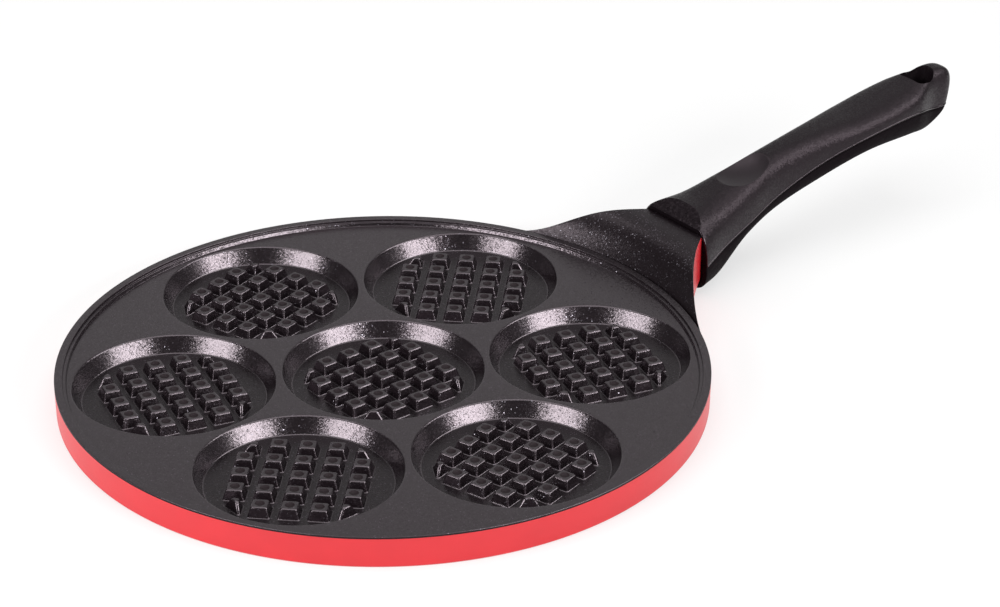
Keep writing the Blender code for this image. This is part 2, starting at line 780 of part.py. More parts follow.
def make_shells(plastic):
    shells = {}
    for name, upper in (("grip_upper_shell", True), ("grip_lower_shell", False)):
        bm = bmesh.new()
        loft(bm, shell_rings(upper))
        shells[name] = place_mesh(name, bm, plastic)

    bm = bmesh.new()
    loft(bm, neck_rings(GAP, POCKET_END - NECK_END))
    pocket = place_mesh("neck_pocket", bm)
    bm = bmesh.new()
    loft(bm, tongue_rings(GAP))
    slot = place_mesh("tongue_slot", bm)
    air = hollow()
    hole = hang_hole_cutter()
    for shell in shells.values():
        for cutter in (pocket, air, slot, hole):
            cut(shell, cutter)

    upper = shells["grip_upper_shell"]
    cut(upper, facet_cutter())
    cut(upper, dish_cutter("dish_cutter"))
    for name, x in SHELL_SCREW_PLACES.items():
        tip = shell_screw_seat(x) + SHELL_SCREW_LENGTH + 2 * GAP
        cut(upper, cylinder_cutter(name + "_pilot", x, SHELL_SCREW_RADIUS + GAP,
                                   seam_line(x) - OVERRUN, tip))

    lower = shells["grip_lower_shell"]
    seats = [("handle_screw", SCREW_X, screw_seat(), SCREW_RADIUS, WASHER_RADIUS)]
    for name, x in SHELL_SCREW_PLACES.items():
        seats.append((name, x, shell_screw_seat(x), SHELL_SCREW_RADIUS, SHELL_SCREW_HEAD_RADIUS))
    for name, x, seat, shank, head in seats:
        bm = bmesh.new()
        turned(bm, [(head + COUNTERBORE_CLEARANCE, MOUTH_BOTTOM - SHELL_WALL),
                    (head + COUNTERBORE_CLEARANCE, seat),
                    (shank + GAP, seat),
                    (shank + GAP, seam_line(x) + OVERRUN)],
               FASTENER_SEGMENTS, (x, 0.0))
        cut(lower, place_mesh(name + "_bore", bm))

    for shell in shells.values():
        shade_round(shell)


# Gasket and fasteners

def make_gasket(board):
    """Flat heat-proof sheet with a window for the tongue."""
    x = NECK_END + GAP
    outer = rounded_rectangle(
        NECK_END_HALF_WIDTH - GASKET_INSET,
        neck_bottom_height(NECK_END) + GASKET_INSET,
        neck_top_height(NECK_END) - GASKET_INSET,
        GASKET_CORNER, GASKET_CORNER_STEPS)
    middle = tongue_middle(x + GASKET_THICKNESS / 2)
    play = 2 * GAP
    half = TONGUE_THICKNESS / 2 + play
    window = rounded_rectangle(TONGUE_HALF_WIDTH + play, middle - half, middle + half,
                               TONGUE_CORNER, GASKET_CORNER_STEPS)
    bm = bmesh.new()
    rings = []
    for outline in (outer, window):
        for along in (x, x + GASKET_THICKNESS):
            rings.append(add_ring(bm, [(along, y, z) for y, z in outline]))
    outer_near, outer_far, window_near, window_far = rings
    bridge(bm, outer_near, outer_far)
    bridge(bm, outer_far, window_far)
    bridge(bm, window_far, window_near)
    bridge(bm, window_near, outer_near)
    place_mesh("heat_gasket", bm, board)


def make_handle_screw(steel, brass):
    x = SCREW_X
    centre = (x, 0.0)
    washer_top = screw_seat() - GAP
    spring_top = washer_top - WASHER_THICKNESS - GAP
    head_top = spring_top - SPRING_WASHER_THICKNESS - GAP
    head_low = head_top - SCREW_HEAD_HEIGHT
    insert_middle = tongue_middle(x)
    insert_top = insert_middle + INSERT_LENGTH / 2
    bore = SCREW_RADIUS + GAP

    bm = bmesh.new()
    turned(bm, [
        (SCREW_HEAD_RADIUS - SCREW_HEAD_EDGE, head_low),
        (SCREW_HEAD_RADIUS, head_low + SCREW_HEAD_EDGE),
        (SCREW_HEAD_RADIUS, head_top),
        (SCREW_RADIUS, head_top),
        (SCREW_RADIUS, insert_top - 2 * SCREW_TIP_INSET),
        (SCREW_RADIUS - SCREW_TIP_INSET, insert_top - SCREW_TIP_INSET),
    ], FASTENER_SEGMENTS, centre)
    screw = place_mesh("handle_screw", bm, steel)
    bm = bmesh.new()
    socket = circle(SCREW_SOCKET_RADIUS, head_low - OVERRUN, SCREW_SOCKET_SIDES, centre)
    prism(bm, socket, Vector((0.0, 0.0, OVERRUN + SCREW_SOCKET_DEPTH)))
    cut(screw, place_mesh("screw_socket", bm))
    shade_round(screw)

    bm = bmesh.new()
    turned_ring(bm, WASHER_RADIUS, bore, washer_top - WASHER_THICKNESS, washer_top,
                FASTENER_SEGMENTS, centre)
    shade_round(place_mesh("handle_washer", bm, steel))

    bm = bmesh.new()
    turned_ring(bm, INSERT_RADIUS, bore, insert_middle - INSERT_LENGTH / 2, insert_top,
                FASTENER_SEGMENTS, centre)
    shade_round(place_mesh("thread_insert", bm, brass))

    bm = bmesh.new()
    low, high = spring_top - SPRING_WASHER_THICKNESS, spring_top
    corners = ((SPRING_WASHER_RADIUS, low), (SPRING_WASHER_RADIUS, high), (bore, high), (bore, low))
    rings = []
    for i in range(FASTENER_SEGMENTS + 1):
        angle = SPRING_WASHER_SPLIT / 2 + (2 * math.pi - SPRING_WASHER_SPLIT) * i / FASTENER_SEGMENTS
        turn = Matrix.Rotation(angle, 3, "Z")
        rings.append([Vector((x, 0.0, z)) + turn @ Vector((radius, 0.0, 0.0)) for radius, z in corners])
    loft(bm, rings)
    shade_round(place_mesh("handle_spring_washer", bm, steel))


def make_shell_screw(name, x, steel):
    head_top = shell_screw_seat(x) - GAP
    tip = shell_screw_seat(x) + SHELL_SCREW_LENGTH
    bm = bmesh.new()
    turned(bm, [
        (SHELL_SCREW_HEAD_RADIUS - SCREW_HEAD_EDGE, head_top - SHELL_SCREW_HEAD_HEIGHT),
        (SHELL_SCREW_HEAD_RADIUS, head_top - SHELL_SCREW_HEAD_HEIGHT + SCREW_HEAD_EDGE),
        (SHELL_SCREW_HEAD_RADIUS, head_top),
        (SHELL_SCREW_RADIUS, head_top),
        (SHELL_SCREW_RADIUS, tip - SHELL_SCREW_POINT),
        (SHELL_SCREW_TIP_RADIUS, tip),
    ], SHELL_SCREW_SEGMENTS, (x, 0.0))
    shade_round(place_mesh(name, bm, steel))


def main():
    clear_scene()
    black = finish_material("nonstick_black", NONSTICK_BLACK, 0.42)
    red = finish_material("enamel_red", ENAMEL_RED, 0.35)
    make_casting(black, red)
    make_shells(finish_material("handle_plastic", HANDLE_BLACK, 0.5))
    make_gasket(finish_material("gasket_board", GASKET_GREY, 0.9))
    steel = finish_material("zinc_steel", ZINC, 0.35, 1.0)
    make_handle_screw(steel, finish_material("brass", BRASS, 0.4, 1.0))
    for name, x in SHELL_SCREW_PLACES.items():
        make_shell_screw(name, x, steel)


main()
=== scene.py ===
"""Looks of a stovetop waffle pan: a black coated casting with seven studded cups, red outside, and
a grained black handle. Everything is in metres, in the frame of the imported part: the origin is the
centre of the underside, and the handle runs along +X.
"""

import math

import bmesh
import bpy
from mathutils import Matrix, Vector


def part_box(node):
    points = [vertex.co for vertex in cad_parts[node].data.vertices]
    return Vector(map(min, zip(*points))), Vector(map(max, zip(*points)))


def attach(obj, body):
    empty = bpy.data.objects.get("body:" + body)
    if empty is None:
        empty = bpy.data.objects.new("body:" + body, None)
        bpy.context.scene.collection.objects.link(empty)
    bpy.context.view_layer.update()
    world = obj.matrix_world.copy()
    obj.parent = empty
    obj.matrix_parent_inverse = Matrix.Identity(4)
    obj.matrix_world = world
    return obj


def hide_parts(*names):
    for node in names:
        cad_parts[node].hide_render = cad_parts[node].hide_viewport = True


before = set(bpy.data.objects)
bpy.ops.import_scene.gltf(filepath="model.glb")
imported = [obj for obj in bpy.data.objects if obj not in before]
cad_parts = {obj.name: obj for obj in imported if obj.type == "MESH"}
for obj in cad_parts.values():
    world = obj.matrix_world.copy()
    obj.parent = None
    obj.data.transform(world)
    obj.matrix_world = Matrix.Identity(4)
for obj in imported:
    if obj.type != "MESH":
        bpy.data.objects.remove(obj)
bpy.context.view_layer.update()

# Plate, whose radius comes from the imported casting
CASTING_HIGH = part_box("pan_casting")[1]
PAN_RADIUS = CASTING_HIGH.y
DECK_HEIGHT = 0.0114
RIM_TOP = 0.0137
RIM_WIDTH = 0.0032
RIM_STEP = 0.0010
RIM_LEDGE = 0.0010
RIM_FOOT = 0.0006
WALL_DRAFT = 0.0003
BASE_EDGE = 0.0012
BASE_EDGE_STEPS = 6
RIM_ROUNDING = 0.0002
COATING_OVERLAP = 0.0007
LEDGE_ROUNDING = 0.0002
PLATE_SEGMENTS = 288
WELD_DISTANCE = 0.000001

# Cups
CUP_RING_RADIUS = 0.08485
CUP_RADIUS = 0.04105
CUP_FLOOR_RADIUS = 0.03725
CUP_FLOOR = 0.0049
CUP_LIP_ROUNDING = 0.0010
CUP_FOOT_ROUNDING = 0.0007
CUP_SEGMENTS = 144
OUTER_CUPS = 6
FIRST_CUP_ANGLE = math.radians(30)
CUP_GRID_TURN = math.radians(15)

# Studs
STUD_REACH = 2
STUD_PITCH = 0.0115
STUD_TOP_WIDTH = 0.0063
STUD_BASE_WIDTH = 0.0086
STUD_HEIGHT = 0.0042
STUD_CORNER = 0.0008
LEAST_STUD_CORNER = STUD_CORNER / 3
STUD_TOP_ROUNDING = 0.0008
STUD_FOOT_ROUNDING = 0.0005
CORNER_STUD_LEG = 0.0041
DIMPLE_RADIUS = 0.00175
DIMPLE_DEPTH = 0.0006
DIMPLE_LIP = 0.0002
DIMPLE_BOWL_SHARES = (0.93, 0.7, 0.35)
CORNER_STEPS = 4
SIDE_STEPS = 4
ROUNDING_STEPS = 4

# Neck
NECK_ROOT_DEPTH = 0.0006
NECK_LENGTH = 0.0285
NECK_END = PAN_RADIUS + NECK_LENGTH
NECK_END_HALF_WIDTH = 0.0143
NECK_TOP_RISE = 0.0168
NECK_SHOULDER_RUN = 0.0262
NECK_SHOULDER_POWER = 3.9
NECK_UNDERSIDE = 0.0018
NECK_UNDERSIDE_RISE = 0.0027
NECK_ROOT_HALF_WIDTH = 0.0770
NECK_ROOT_DIRECTION = math.radians(38)
NECK_ROOT_PULL = 0.0136
NECK_END_DIRECTION = math.radians(33)
NECK_END_PULL = 0.0463
NECK_TOP_EDGE = 0.0010
NECK_BOTTOM_EDGE = 0.0052
NECK_STATIONS = 60
NECK_TOP_STEPS = 48
NECK_CORNER_STEPS = 6

# Tongue, screw and gasket, as far as the handle is cut to them
GAP = 0.0003
TONGUE_LENGTH = 0.0440
TONGUE_END = NECK_END + TONGUE_LENGTH
TONGUE_HALF_WIDTH = 0.0080
TONGUE_THICKNESS = 0.0090
TONGUE_HEIGHT = 0.0160
TONGUE_RISE = 0.0125
TONGUE_ROOT = 0.0060
TONGUE_CORNER = 0.0015
GASKET_THICKNESS = 0.0010
POCKET_END = NECK_END + GASKET_THICKNESS + 2 * GAP
INSERT_RADIUS = 0.00375
FASTENER_SEGMENTS = 48

# Handle outline
MOUTH_OVERLAP = 0.0045
MOUTH_X = NECK_END - MOUTH_OVERLAP
HANDLE_LENGTH = 0.1637
HANDLE_END = MOUTH_X + HANDLE_LENGTH
MOUTH_HALF_WIDTH = 0.0218
MOUTH_BOTTOM = 0.0012
MOUTH_SEAM = 0.0150
MOUTH_TOP = 0.0358
TOP_RISE = 0.0239
SEAM_RISE = 0.0302
BOTTOM_RISE = 0.0384
END_ROUNDING = 0.0300
END_LEAN = 0.0068
MOUTH_BLEND = 0.0305
UPPER_MOUTH_FULLNESS = 2.3
UPPER_FULLNESS = 3.2
LOWER_MOUTH_FULLNESS = 3.5
LOWER_FULLNESS = 2.5
END_FULLNESS = 2.5
END_FACE_FULLNESS = 4.4
LAST_RING_TURN = math.radians(89)
SHELL_WALL = 0.0030
SEAM_STEP = 0.0004
SEAM_ROUNDING = 0.0004
BEAD_STAND = 0.0002
BEAD_WIDTH_SHARE = 0.25
BEAD_HEIGHT_SHARE = 0.125
MOUTH_ROUNDING = 0.0006
MOUTH_FRONT_SHARE = 0.02
END_TRIM = 0.0001
HANDLE_STATIONS = 130
END_STATIONS = 36
HALF_STEPS = 72
CORE_STEPS = 12

# Share of the length, then shares of half width, top rise, seam rise and bottom rise
HANDLE_LINE_SHARES = (
    (0.000, 1.000, 0.000, 0.000, 0.000),
    (0.090, 0.775, 0.005, 0.105, -0.012),
    (0.200, 0.609, 0.174, 0.262, 0.313),
    (0.320, 0.467, 0.389, 0.461, 0.484),
    (0.475, 0.492, 0.536, 0.726, 0.638),
    (0.640, 0.613, 0.623, 0.925, 0.790),
    (0.810, 0.603, 0.800, 0.993, 0.792),
    (0.905, 0.402, 0.944, 0.875, 0.762),
    (1.000, 0.563, 1.000, 0.850, 0.970),
)

# Handle details
FACET_LIP = 0.0018
FACET_RUN = 0.0058
FACET_RISE = 0.0050
DISH_SETBACK = 0.0391
DISH_X = MOUTH_X + DISH_SETBACK
DISH_LENGTH = 0.0250
DISH_DEPTH = 0.0027
DISH_CROWN_RADIUS = 0.045
DISH_SLICES = 24
DISH_SEGMENTS = 256
HANG_HOLE_INSET = 0.0207
HANG_HOLE_X = HANDLE_END - HANG_HOLE_INSET
HANG_HOLE_FRONT = 0.0048
HANG_HOLE_BACK = 0.0077
HANG_HOLE_HALF_WIDTH = 0.0073
HANG_HOLE_CORNER = 0.0028
HANG_HOLE_STEPS = 24
HANG_HOLE_FOOT_SHARE = 0.72
CORE_FRONT_WALL = 0.0032
CORE_BACK_WALL = 0.0102
CORE_START = POCKET_END + CORE_FRONT_WALL
CORE_END = HANG_HOLE_X - HANG_HOLE_FRONT - CORE_BACK_WALL
SCREW_SETBACK = 0.0165
SCREW_X = MOUTH_X + SCREW_SETBACK
SCREW_RADIUS = 0.0025
SCREW_SEAT_FLOOR = 0.0026
SCREW_BOSS_RADIUS = 0.0078
WASHER_RADIUS = 0.0050
SHELL_SCREW_SHARES = (0.258, 0.836)
SHELL_SCREW_PLACES = [TONGUE_END + (CORE_END - TONGUE_END) * share for share in SHELL_SCREW_SHARES]
SHELL_SCREW_RADIUS = 0.00145
SHELL_SCREW_HEAD_RADIUS = 0.0028
SHELL_SCREW_LENGTH = 0.0125
SHELL_SCREW_SEAT = 0.0042
SHELL_BOSS_RADIUS = 0.0038
COUNTERBORE_CLEARANCE = 0.0004
OVERRUN = 0.0010

# Edges that turn more than this stay sharp on pieces that are cut
SHARP_ANGLE = math.radians(32)

# Numbers of the finishes on the pan, and of those that follow the grip's on the upper shell
COATING_SLOT, ENAMEL_SLOT, DIMPLE_PAINTED_SHADE_SLOT, CUP_PAINTED_SHADE_SLOT = range(4)
UNDER_PAINTED_SHADE_SLOT, EDGE_SLOT = 1, 2


def colour(red, green, blue):
    """A linear colour from screen values of 0 to 255, by the sRGB curve."""
    def linear(value):
        share = value / 255
        return share / 12.92 if share <= 0.04045 else ((share + 0.055) / 1.055) ** 2.4
    return (linear(red), linear(green), linear(blue), 1.0)


COATING = colour(15, 9, 12)
DIMPLE = colour(22, 14, 16)
FLAKE = colour(116, 111, 118)
ENAMEL = colour(210, 42, 50)
PLASTIC = colour(17, 12, 15)
ZINC = colour(200, 200, 203)
BRASS = colour(214, 186, 126)
BOARD = colour(148, 145, 139)
FLOOR = colour(250, 250, 250)
COATING_SHEEN = (1.0, 0.86, 0.94, 1.0)
PLASTIC_SHEEN = (1.0, 0.82, 0.92, 1.0)

# Darkest and lightest shade of each colour, as shares of it
DIMPLE_SHADE_SHARES = (0.8, 1.3)
ENAMEL_SHADE_SHARES = (0.96, 1.04)
PLASTIC_SHADE_SHARES = (0.8, 1.2)
METAL_SHADE_SHARES = (0.8, 1.0)
BOARD_SHADE_SHARES = (0.7, 1.0)

# Noise: size of its features, detail and roughness
COATING_GRAIN = (0.0012, 3.0, 0.6)
COATING_CLOUDS = (0.0009, 2.0, 0.5)
DIMPLE_GRAIN = (0.0006, 3.0, 0.6)
ENAMEL_PEEL = (0.0016, 2.0, 0.5)
ENAMEL_GRAIN = (0.0004, 2.0, 0.5)
ENAMEL_CLOUDS = (0.02, 3.0, 0.5)
METAL_GRAIN = (0.0004, 3.0, 0.5)
METAL_CLOUDS = (0.003, 3.0, 0.5)
BOARD_FIBRE = (0.0008, 5.0, 0.7)

# Plastic's noise is sized by its grain: detail and roughness, and the grains in one cloud
PLASTIC_GRAIN = (2.0, 0.55)
PLASTIC_CLOUDS = (2.0, 0.5)
PLASTIC_CLOUD_GRAINS = 3

# Range in which most values of a noise lie
NOISE_LOW = 0.3
NOISE_HIGH = 0.7

# Bumps: depth and strength
COATING_BUMP = (0.00004, 0.4)
DIMPLE_BUMP = (0.00004, 0.5)
ENAMEL_PEEL_BUMP = (0.00004, 0.35)
ENAMEL_GRAIN_BUMP = (0.00001, 0.4)
METAL_BUMP = (0.00001, 0.4)
BOARD_BUMP = (0.0001, 0.6)
PLASTIC_BUMP_STRENGTH = 0.8

# Flakes: their size, how far plain cells and flakes lean, and how softly the mask starts
FLAKE_SIZE = 0.0004
CELL_LEAN = 0.12
FLAKE_LEAN = 0.38
MASK_EDGE_SHARE = 0.02
CELL_MIDDLE = (0.5, 0.5, 0.5)

# Lowest and highest surface roughness
DIMPLE_ROUGHNESS = (0.55, 0.7)
ENAMEL_ROUGHNESS = (0.36, 0.46)


# Materials

class Nodes:
    """Short ways to add and join the nodes of one material."""

    def __init__(self, name):
        self.material = bpy.data.materials.new(name)
        self.material.use_nodes = True
        self.tree = self.material.node_tree
        self.shader = self.tree.nodes["Principled BSDF"]
        self.place = self.tree.nodes.new("ShaderNodeTexCoord").outputs["Object"]

    def set(self, **values):
        """Set inputs of the surface shader to plain values."""
        for name, value in values.items():
            self.shader.inputs[name.replace("_", " ")].default_value = value

    def link(self, output, node, name):
        """Join an output to the named or numbered input of a node."""
        self.tree.links.new(output, node.inputs[name])

    def noise(self, size, detail, rough):
        """Noise whose features are about size metres across."""
        node = self.tree.nodes.new("ShaderNodeTexNoise")
        node.inputs["Scale"].default_value = 1 / size
        node.inputs["Detail"].default_value = detail
        node.inputs["Roughness"].default_value = rough
        self.link(self.place, node, "Vector")
        return node.outputs["Fac"]

    def cells(self, size):
        """Cells about size metres across, each with a colour of its own."""
        node = self.tree.nodes.new("ShaderNodeTexVoronoi")
        node.inputs["Scale"].default_value = 1 / size
        self.link(self.place, node, "Vector")
        return node.outputs["Color"]

    def ramp(self, value, low, high, at_low=0.0, at_high=1.0):
        """Value from low to high, mapped to at_low to at_high."""
        node = self.tree.nodes.new("ShaderNodeMapRange")
        ends = {"From Min": low, "From Max": high, "To Min": at_low, "To Max": at_high}
        for name, number in ends.items():
            node.inputs[name].default_value = number
        self.link(value, node, "Value")
        return node.outputs["Result"]

    def spread(self, noise, at_low=0.0, at_high=1.0):
        """Noise spread over at_low to at_high, although its values crowd round the middle."""
        return self.ramp(noise, NOISE_LOW, NOISE_HIGH, at_low, at_high)

    def mix_colour(self, share, first, second):
        """The first colour where the share is 0, the second where it is 1."""
        node = self.tree.nodes.new("ShaderNodeMix")
        node.data_type = "RGBA"
        node.inputs["A"].default_value = first
        node.inputs["B"].default_value = second
        self.link(share, node, "Factor")
        return node.outputs["Result"]

    def shades(self, share, tint, darkest, lightest):
        """A colour that varies between two shares of itself."""
        return self.mix_colour(share, shade(tint, darkest), shade(tint, lightest))

    def bump(self, height, depth, strength, below=None):
        """Bump of a height from 0 to 1 that stands depth metres high, over the bump below it."""
        node = self.tree.nodes.new("ShaderNodeBump")
        node.inputs["Distance"].default_value = depth
        node.inputs["Strength"].default_value = strength
        self.link(height, node, "Height")
        if below is not None:
            self.link(below, node, "Normal")
        return node.outputs["Normal"]

    def vector(self, operation, *inputs):
        """A vector calculation whose inputs are outputs or plain triples."""
        node = self.tree.nodes.new("ShaderNodeVectorMath")
        node.operation = operation
        for number, value in enumerate(inputs):
            if isinstance(value, tuple):
                node.inputs[number].default_value = value
            else:
                self.link(value, node, number)
        return node

    def flakes(self, size, share, lean, flake_lean, normal):
        """Cells that each lean their own way, and a mask that picks a share of them as flakes."""
        cells = self.cells(size)
        split = self.tree.nodes.new("ShaderNodeSeparateColor")
        self.link(cells, split, "Color")
        mask = self.ramp(split.outputs["Red"], 1 - share, 1 - share + MASK_EDGE_SHARE)
        amount = self.ramp(mask, 0.0, 1.0, lean, flake_lean)
        return self.tilt(cells, amount, normal), mask

    def tilt(self, cells, amount, normal):
        """The normal, leaned by an amount in the direction that each cell's colour gives."""
        direction = self.vector("SUBTRACT", cells, CELL_MIDDLE)
        scaled = self.vector("SCALE", direction.outputs[0])
        self.link(amount, scaled, "Scale")
        moved = self.vector("ADD", scaled.outputs[0], normal)
        return self.vector("NORMALIZE", moved.outputs[0]).outputs[0]

    def finish(self, **inputs):
        """Link outputs to inputs of the surface shader, and return the material."""
        for name, output in inputs.items():
            self.link(output, self.shader, name.replace("_", " "))
        return self.material


def shade(tint, share):
    """A darker or lighter shade of a colour."""
    return tuple(channel * share for channel in tint[:3]) + (1.0,)


def coating_material(name, index, low, high, share):
    """Satin black coating with a share of tiny metal flakes that glitter in the highlights."""
    nodes = Nodes(name)
    nodes.set(IOR=index, Specular_Tint=COATING_SHEEN)
    base = nodes.bump(nodes.noise(*COATING_GRAIN), *COATING_BUMP)
    normal, mask = nodes.flakes(FLAKE_SIZE, share, CELL_LEAN, FLAKE_LEAN, base)
    tint = nodes.mix_colour(mask, COATING, FLAKE)
    rough = nodes.spread(nodes.noise(*COATING_CLOUDS), low, high)
    return nodes.finish(Base_Color=tint, Metallic=mask, Roughness=rough, Normal=normal)


def dimple_painted_shade_material():
    """The coating in the dimples and at its edge: a little brown and rougher, with a low specular
    level that paints shade there.
    """
    nodes = Nodes("coating_in_dimples_painted_shade")
    nodes.set(Specular_Tint=COATING_SHEEN, Specular_IOR_Level=0.3)
    grain = nodes.noise(*DIMPLE_GRAIN)
    tint = nodes.shades(grain, DIMPLE, *DIMPLE_SHADE_SHARES)
    rough = nodes.spread(grain, *DIMPLE_ROUGHNESS)
    return nodes.finish(Base_Color=tint, Roughness=rough, Normal=nodes.bump(grain, *DIMPLE_BUMP))


def enamel_material():
    """Red enamel with a soft satin gloss and a faint orange peel."""
    nodes = Nodes("enamel_red")
    nodes.set(Coat_Weight=0.12, Coat_Roughness=0.25, Specular_IOR_Level=0.4)
    fine = nodes.noise(*ENAMEL_GRAIN)
    peel = nodes.bump(nodes.noise(*ENAMEL_PEEL), *ENAMEL_PEEL_BUMP)
    normal = nodes.bump(fine, *ENAMEL_GRAIN_BUMP, below=peel)
    clouds = nodes.spread(nodes.noise(*ENAMEL_CLOUDS))
    tint = nodes.shades(clouds, ENAMEL, *ENAMEL_SHADE_SHARES)
    rough = nodes.spread(fine, *ENAMEL_ROUGHNESS)
    return nodes.finish(Base_Color=tint, Roughness=rough, Normal=normal)


def plastic_material(name, size, depth, lean, low, high, level):
    """Moulded black plastic whose grain has the given size, depth and mean lean."""
    nodes = Nodes(name)
    nodes.set(Specular_Tint=PLASTIC_SHEEN, Specular_IOR_Level=level)
    grain = nodes.noise(size, *PLASTIC_GRAIN)
    amount = nodes.ramp(grain, 0.0, 1.0, lean / 2, 3 * lean / 2)
    base = nodes.bump(grain, depth, PLASTIC_BUMP_STRENGTH)
    normal = nodes.tilt(nodes.cells(size), amount, base)
    tint = nodes.shades(nodes.spread(grain), PLASTIC, *PLASTIC_SHADE_SHARES)
    clouds = nodes.noise(size * PLASTIC_CLOUD_GRAINS, *PLASTIC_CLOUDS)
    return nodes.finish(Base_Color=tint, Roughness=nodes.spread(clouds, low, high), Normal=normal)


def metal_material(name, tint, low, high):
    """Plain metal with a fine, slightly uneven grain."""
    nodes = Nodes(name)
    nodes.set(Metallic=1.0)
    fine = nodes.noise(*METAL_GRAIN)
    normal = nodes.bump(fine, *METAL_BUMP)
    shades = nodes.shades(nodes.noise(*METAL_CLOUDS), tint, *METAL_SHADE_SHARES)
    return nodes.finish(Base_Color=shades, Roughness=nodes.spread(fine, low, high), Normal=normal)


def board_material():
    """Pressed heat-proof board with a fibrous, matt surface."""
    nodes = Nodes("gasket_board")
    nodes.set(Roughness=0.9)
    fibre = nodes.noise(*BOARD_FIBRE)
    tint = nodes.shades(fibre, BOARD, *BOARD_SHADE_SHARES)
    return nodes.finish(Base_Color=tint, Normal=nodes.bump(fibre, *BOARD_BUMP))


COATING_FINISH = coating_material("nonstick_coating", index=1.9, low=0.20, high=0.26, share=0.03)
# Coating on the cup floors between the studs: a little rougher than the deck's, and less reflective,
# which paints shade into the cups.
CUP_PAINTED_SHADE_FINISH = coating_material(
    "nonstick_coating_cup_floor_painted_shade", index=1.5, low=0.24, high=0.30, share=0.03)
NECK_FINISH = coating_material("nonstick_coating_neck", index=1.5, low=0.30, high=0.38, share=0.05)
ENAMEL_FINISH = enamel_material()
DIMPLE_PAINTED_SHADE_FINISH = dimple_painted_shade_material()
GRIP_FINISH = plastic_material(
    "handle_grain", size=0.0005, depth=0.00002, lean=0.24, low=0.36, high=0.44, level=0.30)
# Matt plastic with a rougher grain, for the lower shell and the front face at the mouth. Its
# specular level is lower than real plastic's, which paints shade on them.
UNDER_PAINTED_SHADE_FINISH = plastic_material(
    "handle_matt_grain_painted_shade", size=0.0005, depth=0.00003, lean=0.12, low=0.60, high=0.70, level=0.04)
FACET_FINISH = plastic_material(
    "handle_coarse_grain", size=0.0007, depth=0.00008, lean=0.36, low=0.36, high=0.48, level=0.24)
DISH_FINISH = plastic_material(
    "handle_smooth", size=0.0014, depth=0.000008, lean=0.03, low=0.34, high=0.40, level=0.55)
EDGE_FINISH = plastic_material(
    "handle_bright_edge", size=0.0012, depth=0.00001, lean=0.02, low=0.16, high=0.22, level=0.50)
ZINC_FINISH = metal_material("zinc_steel", ZINC, low=0.28, high=0.42)
BRASS_FINISH = metal_material("brass", BRASS, low=0.30, high=0.45)
BOARD_FINISH = board_material()

NODE_FINISHES = {
    "thread_insert": BRASS_FINISH,
    "handle_screw": ZINC_FINISH,
    "handle_washer": ZINC_FINISH,
    "handle_spring_washer": ZINC_FINISH,
    "shell_screw_front": ZINC_FINISH,
    "shell_screw_rear": ZINC_FINISH,
    "heat_gasket": BOARD_FINISH,
}
for node, finish in NODE_FINISHES.items():
    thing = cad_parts[node]
    thing.data.materials.clear()
    thing.data.materials.append(finish)


# Mesh helpers

def arc(centre, radius_x, radius_y, start, end, steps):
    """Points on a stretch of an ellipse, both ends included."""
    return [
        (centre[0] + radius_x * math.cos(start + (end - start) * i / steps),
         centre[1] + radius_y * math.sin(start + (end - start) * i / steps))
        for i in range(steps + 1)
    ]


def corner_arc(before, corner, after, radius, steps):
    """Points on the arc that rounds a corner between the points before and after it."""
    corner = Vector(corner)
    back = (Vector(before) - corner).normalized()
    ahead = (Vector(after) - corner).normalized()
    half = back.angle(ahead) / 2
    reach = radius / math.tan(half)
    centre = corner + (back + ahead).normalized() * (radius / math.sin(half))
    start, end = corner + back * reach, corner + ahead * reach
    from_angle = math.atan2(start.y - centre.y, start.x - centre.x)
    turn = math.atan2(end.y - centre.y, end.x - centre.x) - from_angle
    turn = (turn + math.pi) % (2 * math.pi) - math.pi
    return arc(centre, radius, radius, from_angle, from_angle + turn, steps)


def rounded_path(points, radii, steps=ROUNDING_STEPS):
    """A path of (across, up) points whose inner corners are arcs of the given radii."""
    path = [points[0]]
    for before, corner, after, radius in zip(points, points[1:], points[2:], radii):
        path += corner_arc(before, corner, after, radius, steps) if radius else [corner]
    path.append(points[-1])
    return path


def circle(radius, height, segments, centre=(0.0, 0.0)):
    """A level ring of points."""
    ring = arc(centre, radius, radius, 0.0, 2 * math.pi, segments)[:-1]
    return [Vector((x, y, height)) for x, y in ring]


def skin(bm, ring, following, material=0):
    """Join two rings of equally many vertices with faces."""
    for i in range(len(ring)):
        after = (i + 1) % len(ring)
        face = bm.faces.new((ring[i], ring[after], following[after], following[i]))
        face.material_index = material


def add_rings(bm, rings, material=0):
    """Add rings of equally many corners, skin each to the next, and return their vertices."""
    made = [[bm.verts.new(point) for point in ring] for ring in rings]
    for ring, following in zip(made, made[1:]):
        skin(bm, ring, following, material)
    return made


def ring_edges(bm, ring):
    """The edges that join a ring of vertices."""
    return [bm.edges.get((ring[i], ring[(i + 1) % len(ring)])) for i in range(len(ring))]


def fill(bm, loops, material=0):
    """Fill the flat space between closed loops of vertices."""
    edges = []
    for loop in loops:
        edges += ring_edges(bm, loop)
    for face in bmesh.ops.triangle_fill(bm, use_beauty=True, edges=edges)["geom"]:
        if isinstance(face, bmesh.types.BMFace):
            face.material_index = material


def new_object(name, data):
    """An object of the given data, put into the scene."""
    thing = bpy.data.objects.new(name, data)
    bpy.context.scene.collection.objects.link(thing)
    return thing


def make_object(name, bm, *finishes):
    """Turn a bmesh into a smooth object whose faces point out."""
    bmesh.ops.recalc_face_normals(bm, faces=bm.faces)
    mesh = bpy.data.meshes.new(name)
    bm.to_mesh(mesh)
    bm.free()
    for finish in finishes:
        mesh.materials.append(finish)
    mesh.shade_smooth()
    return new_object(name, mesh)


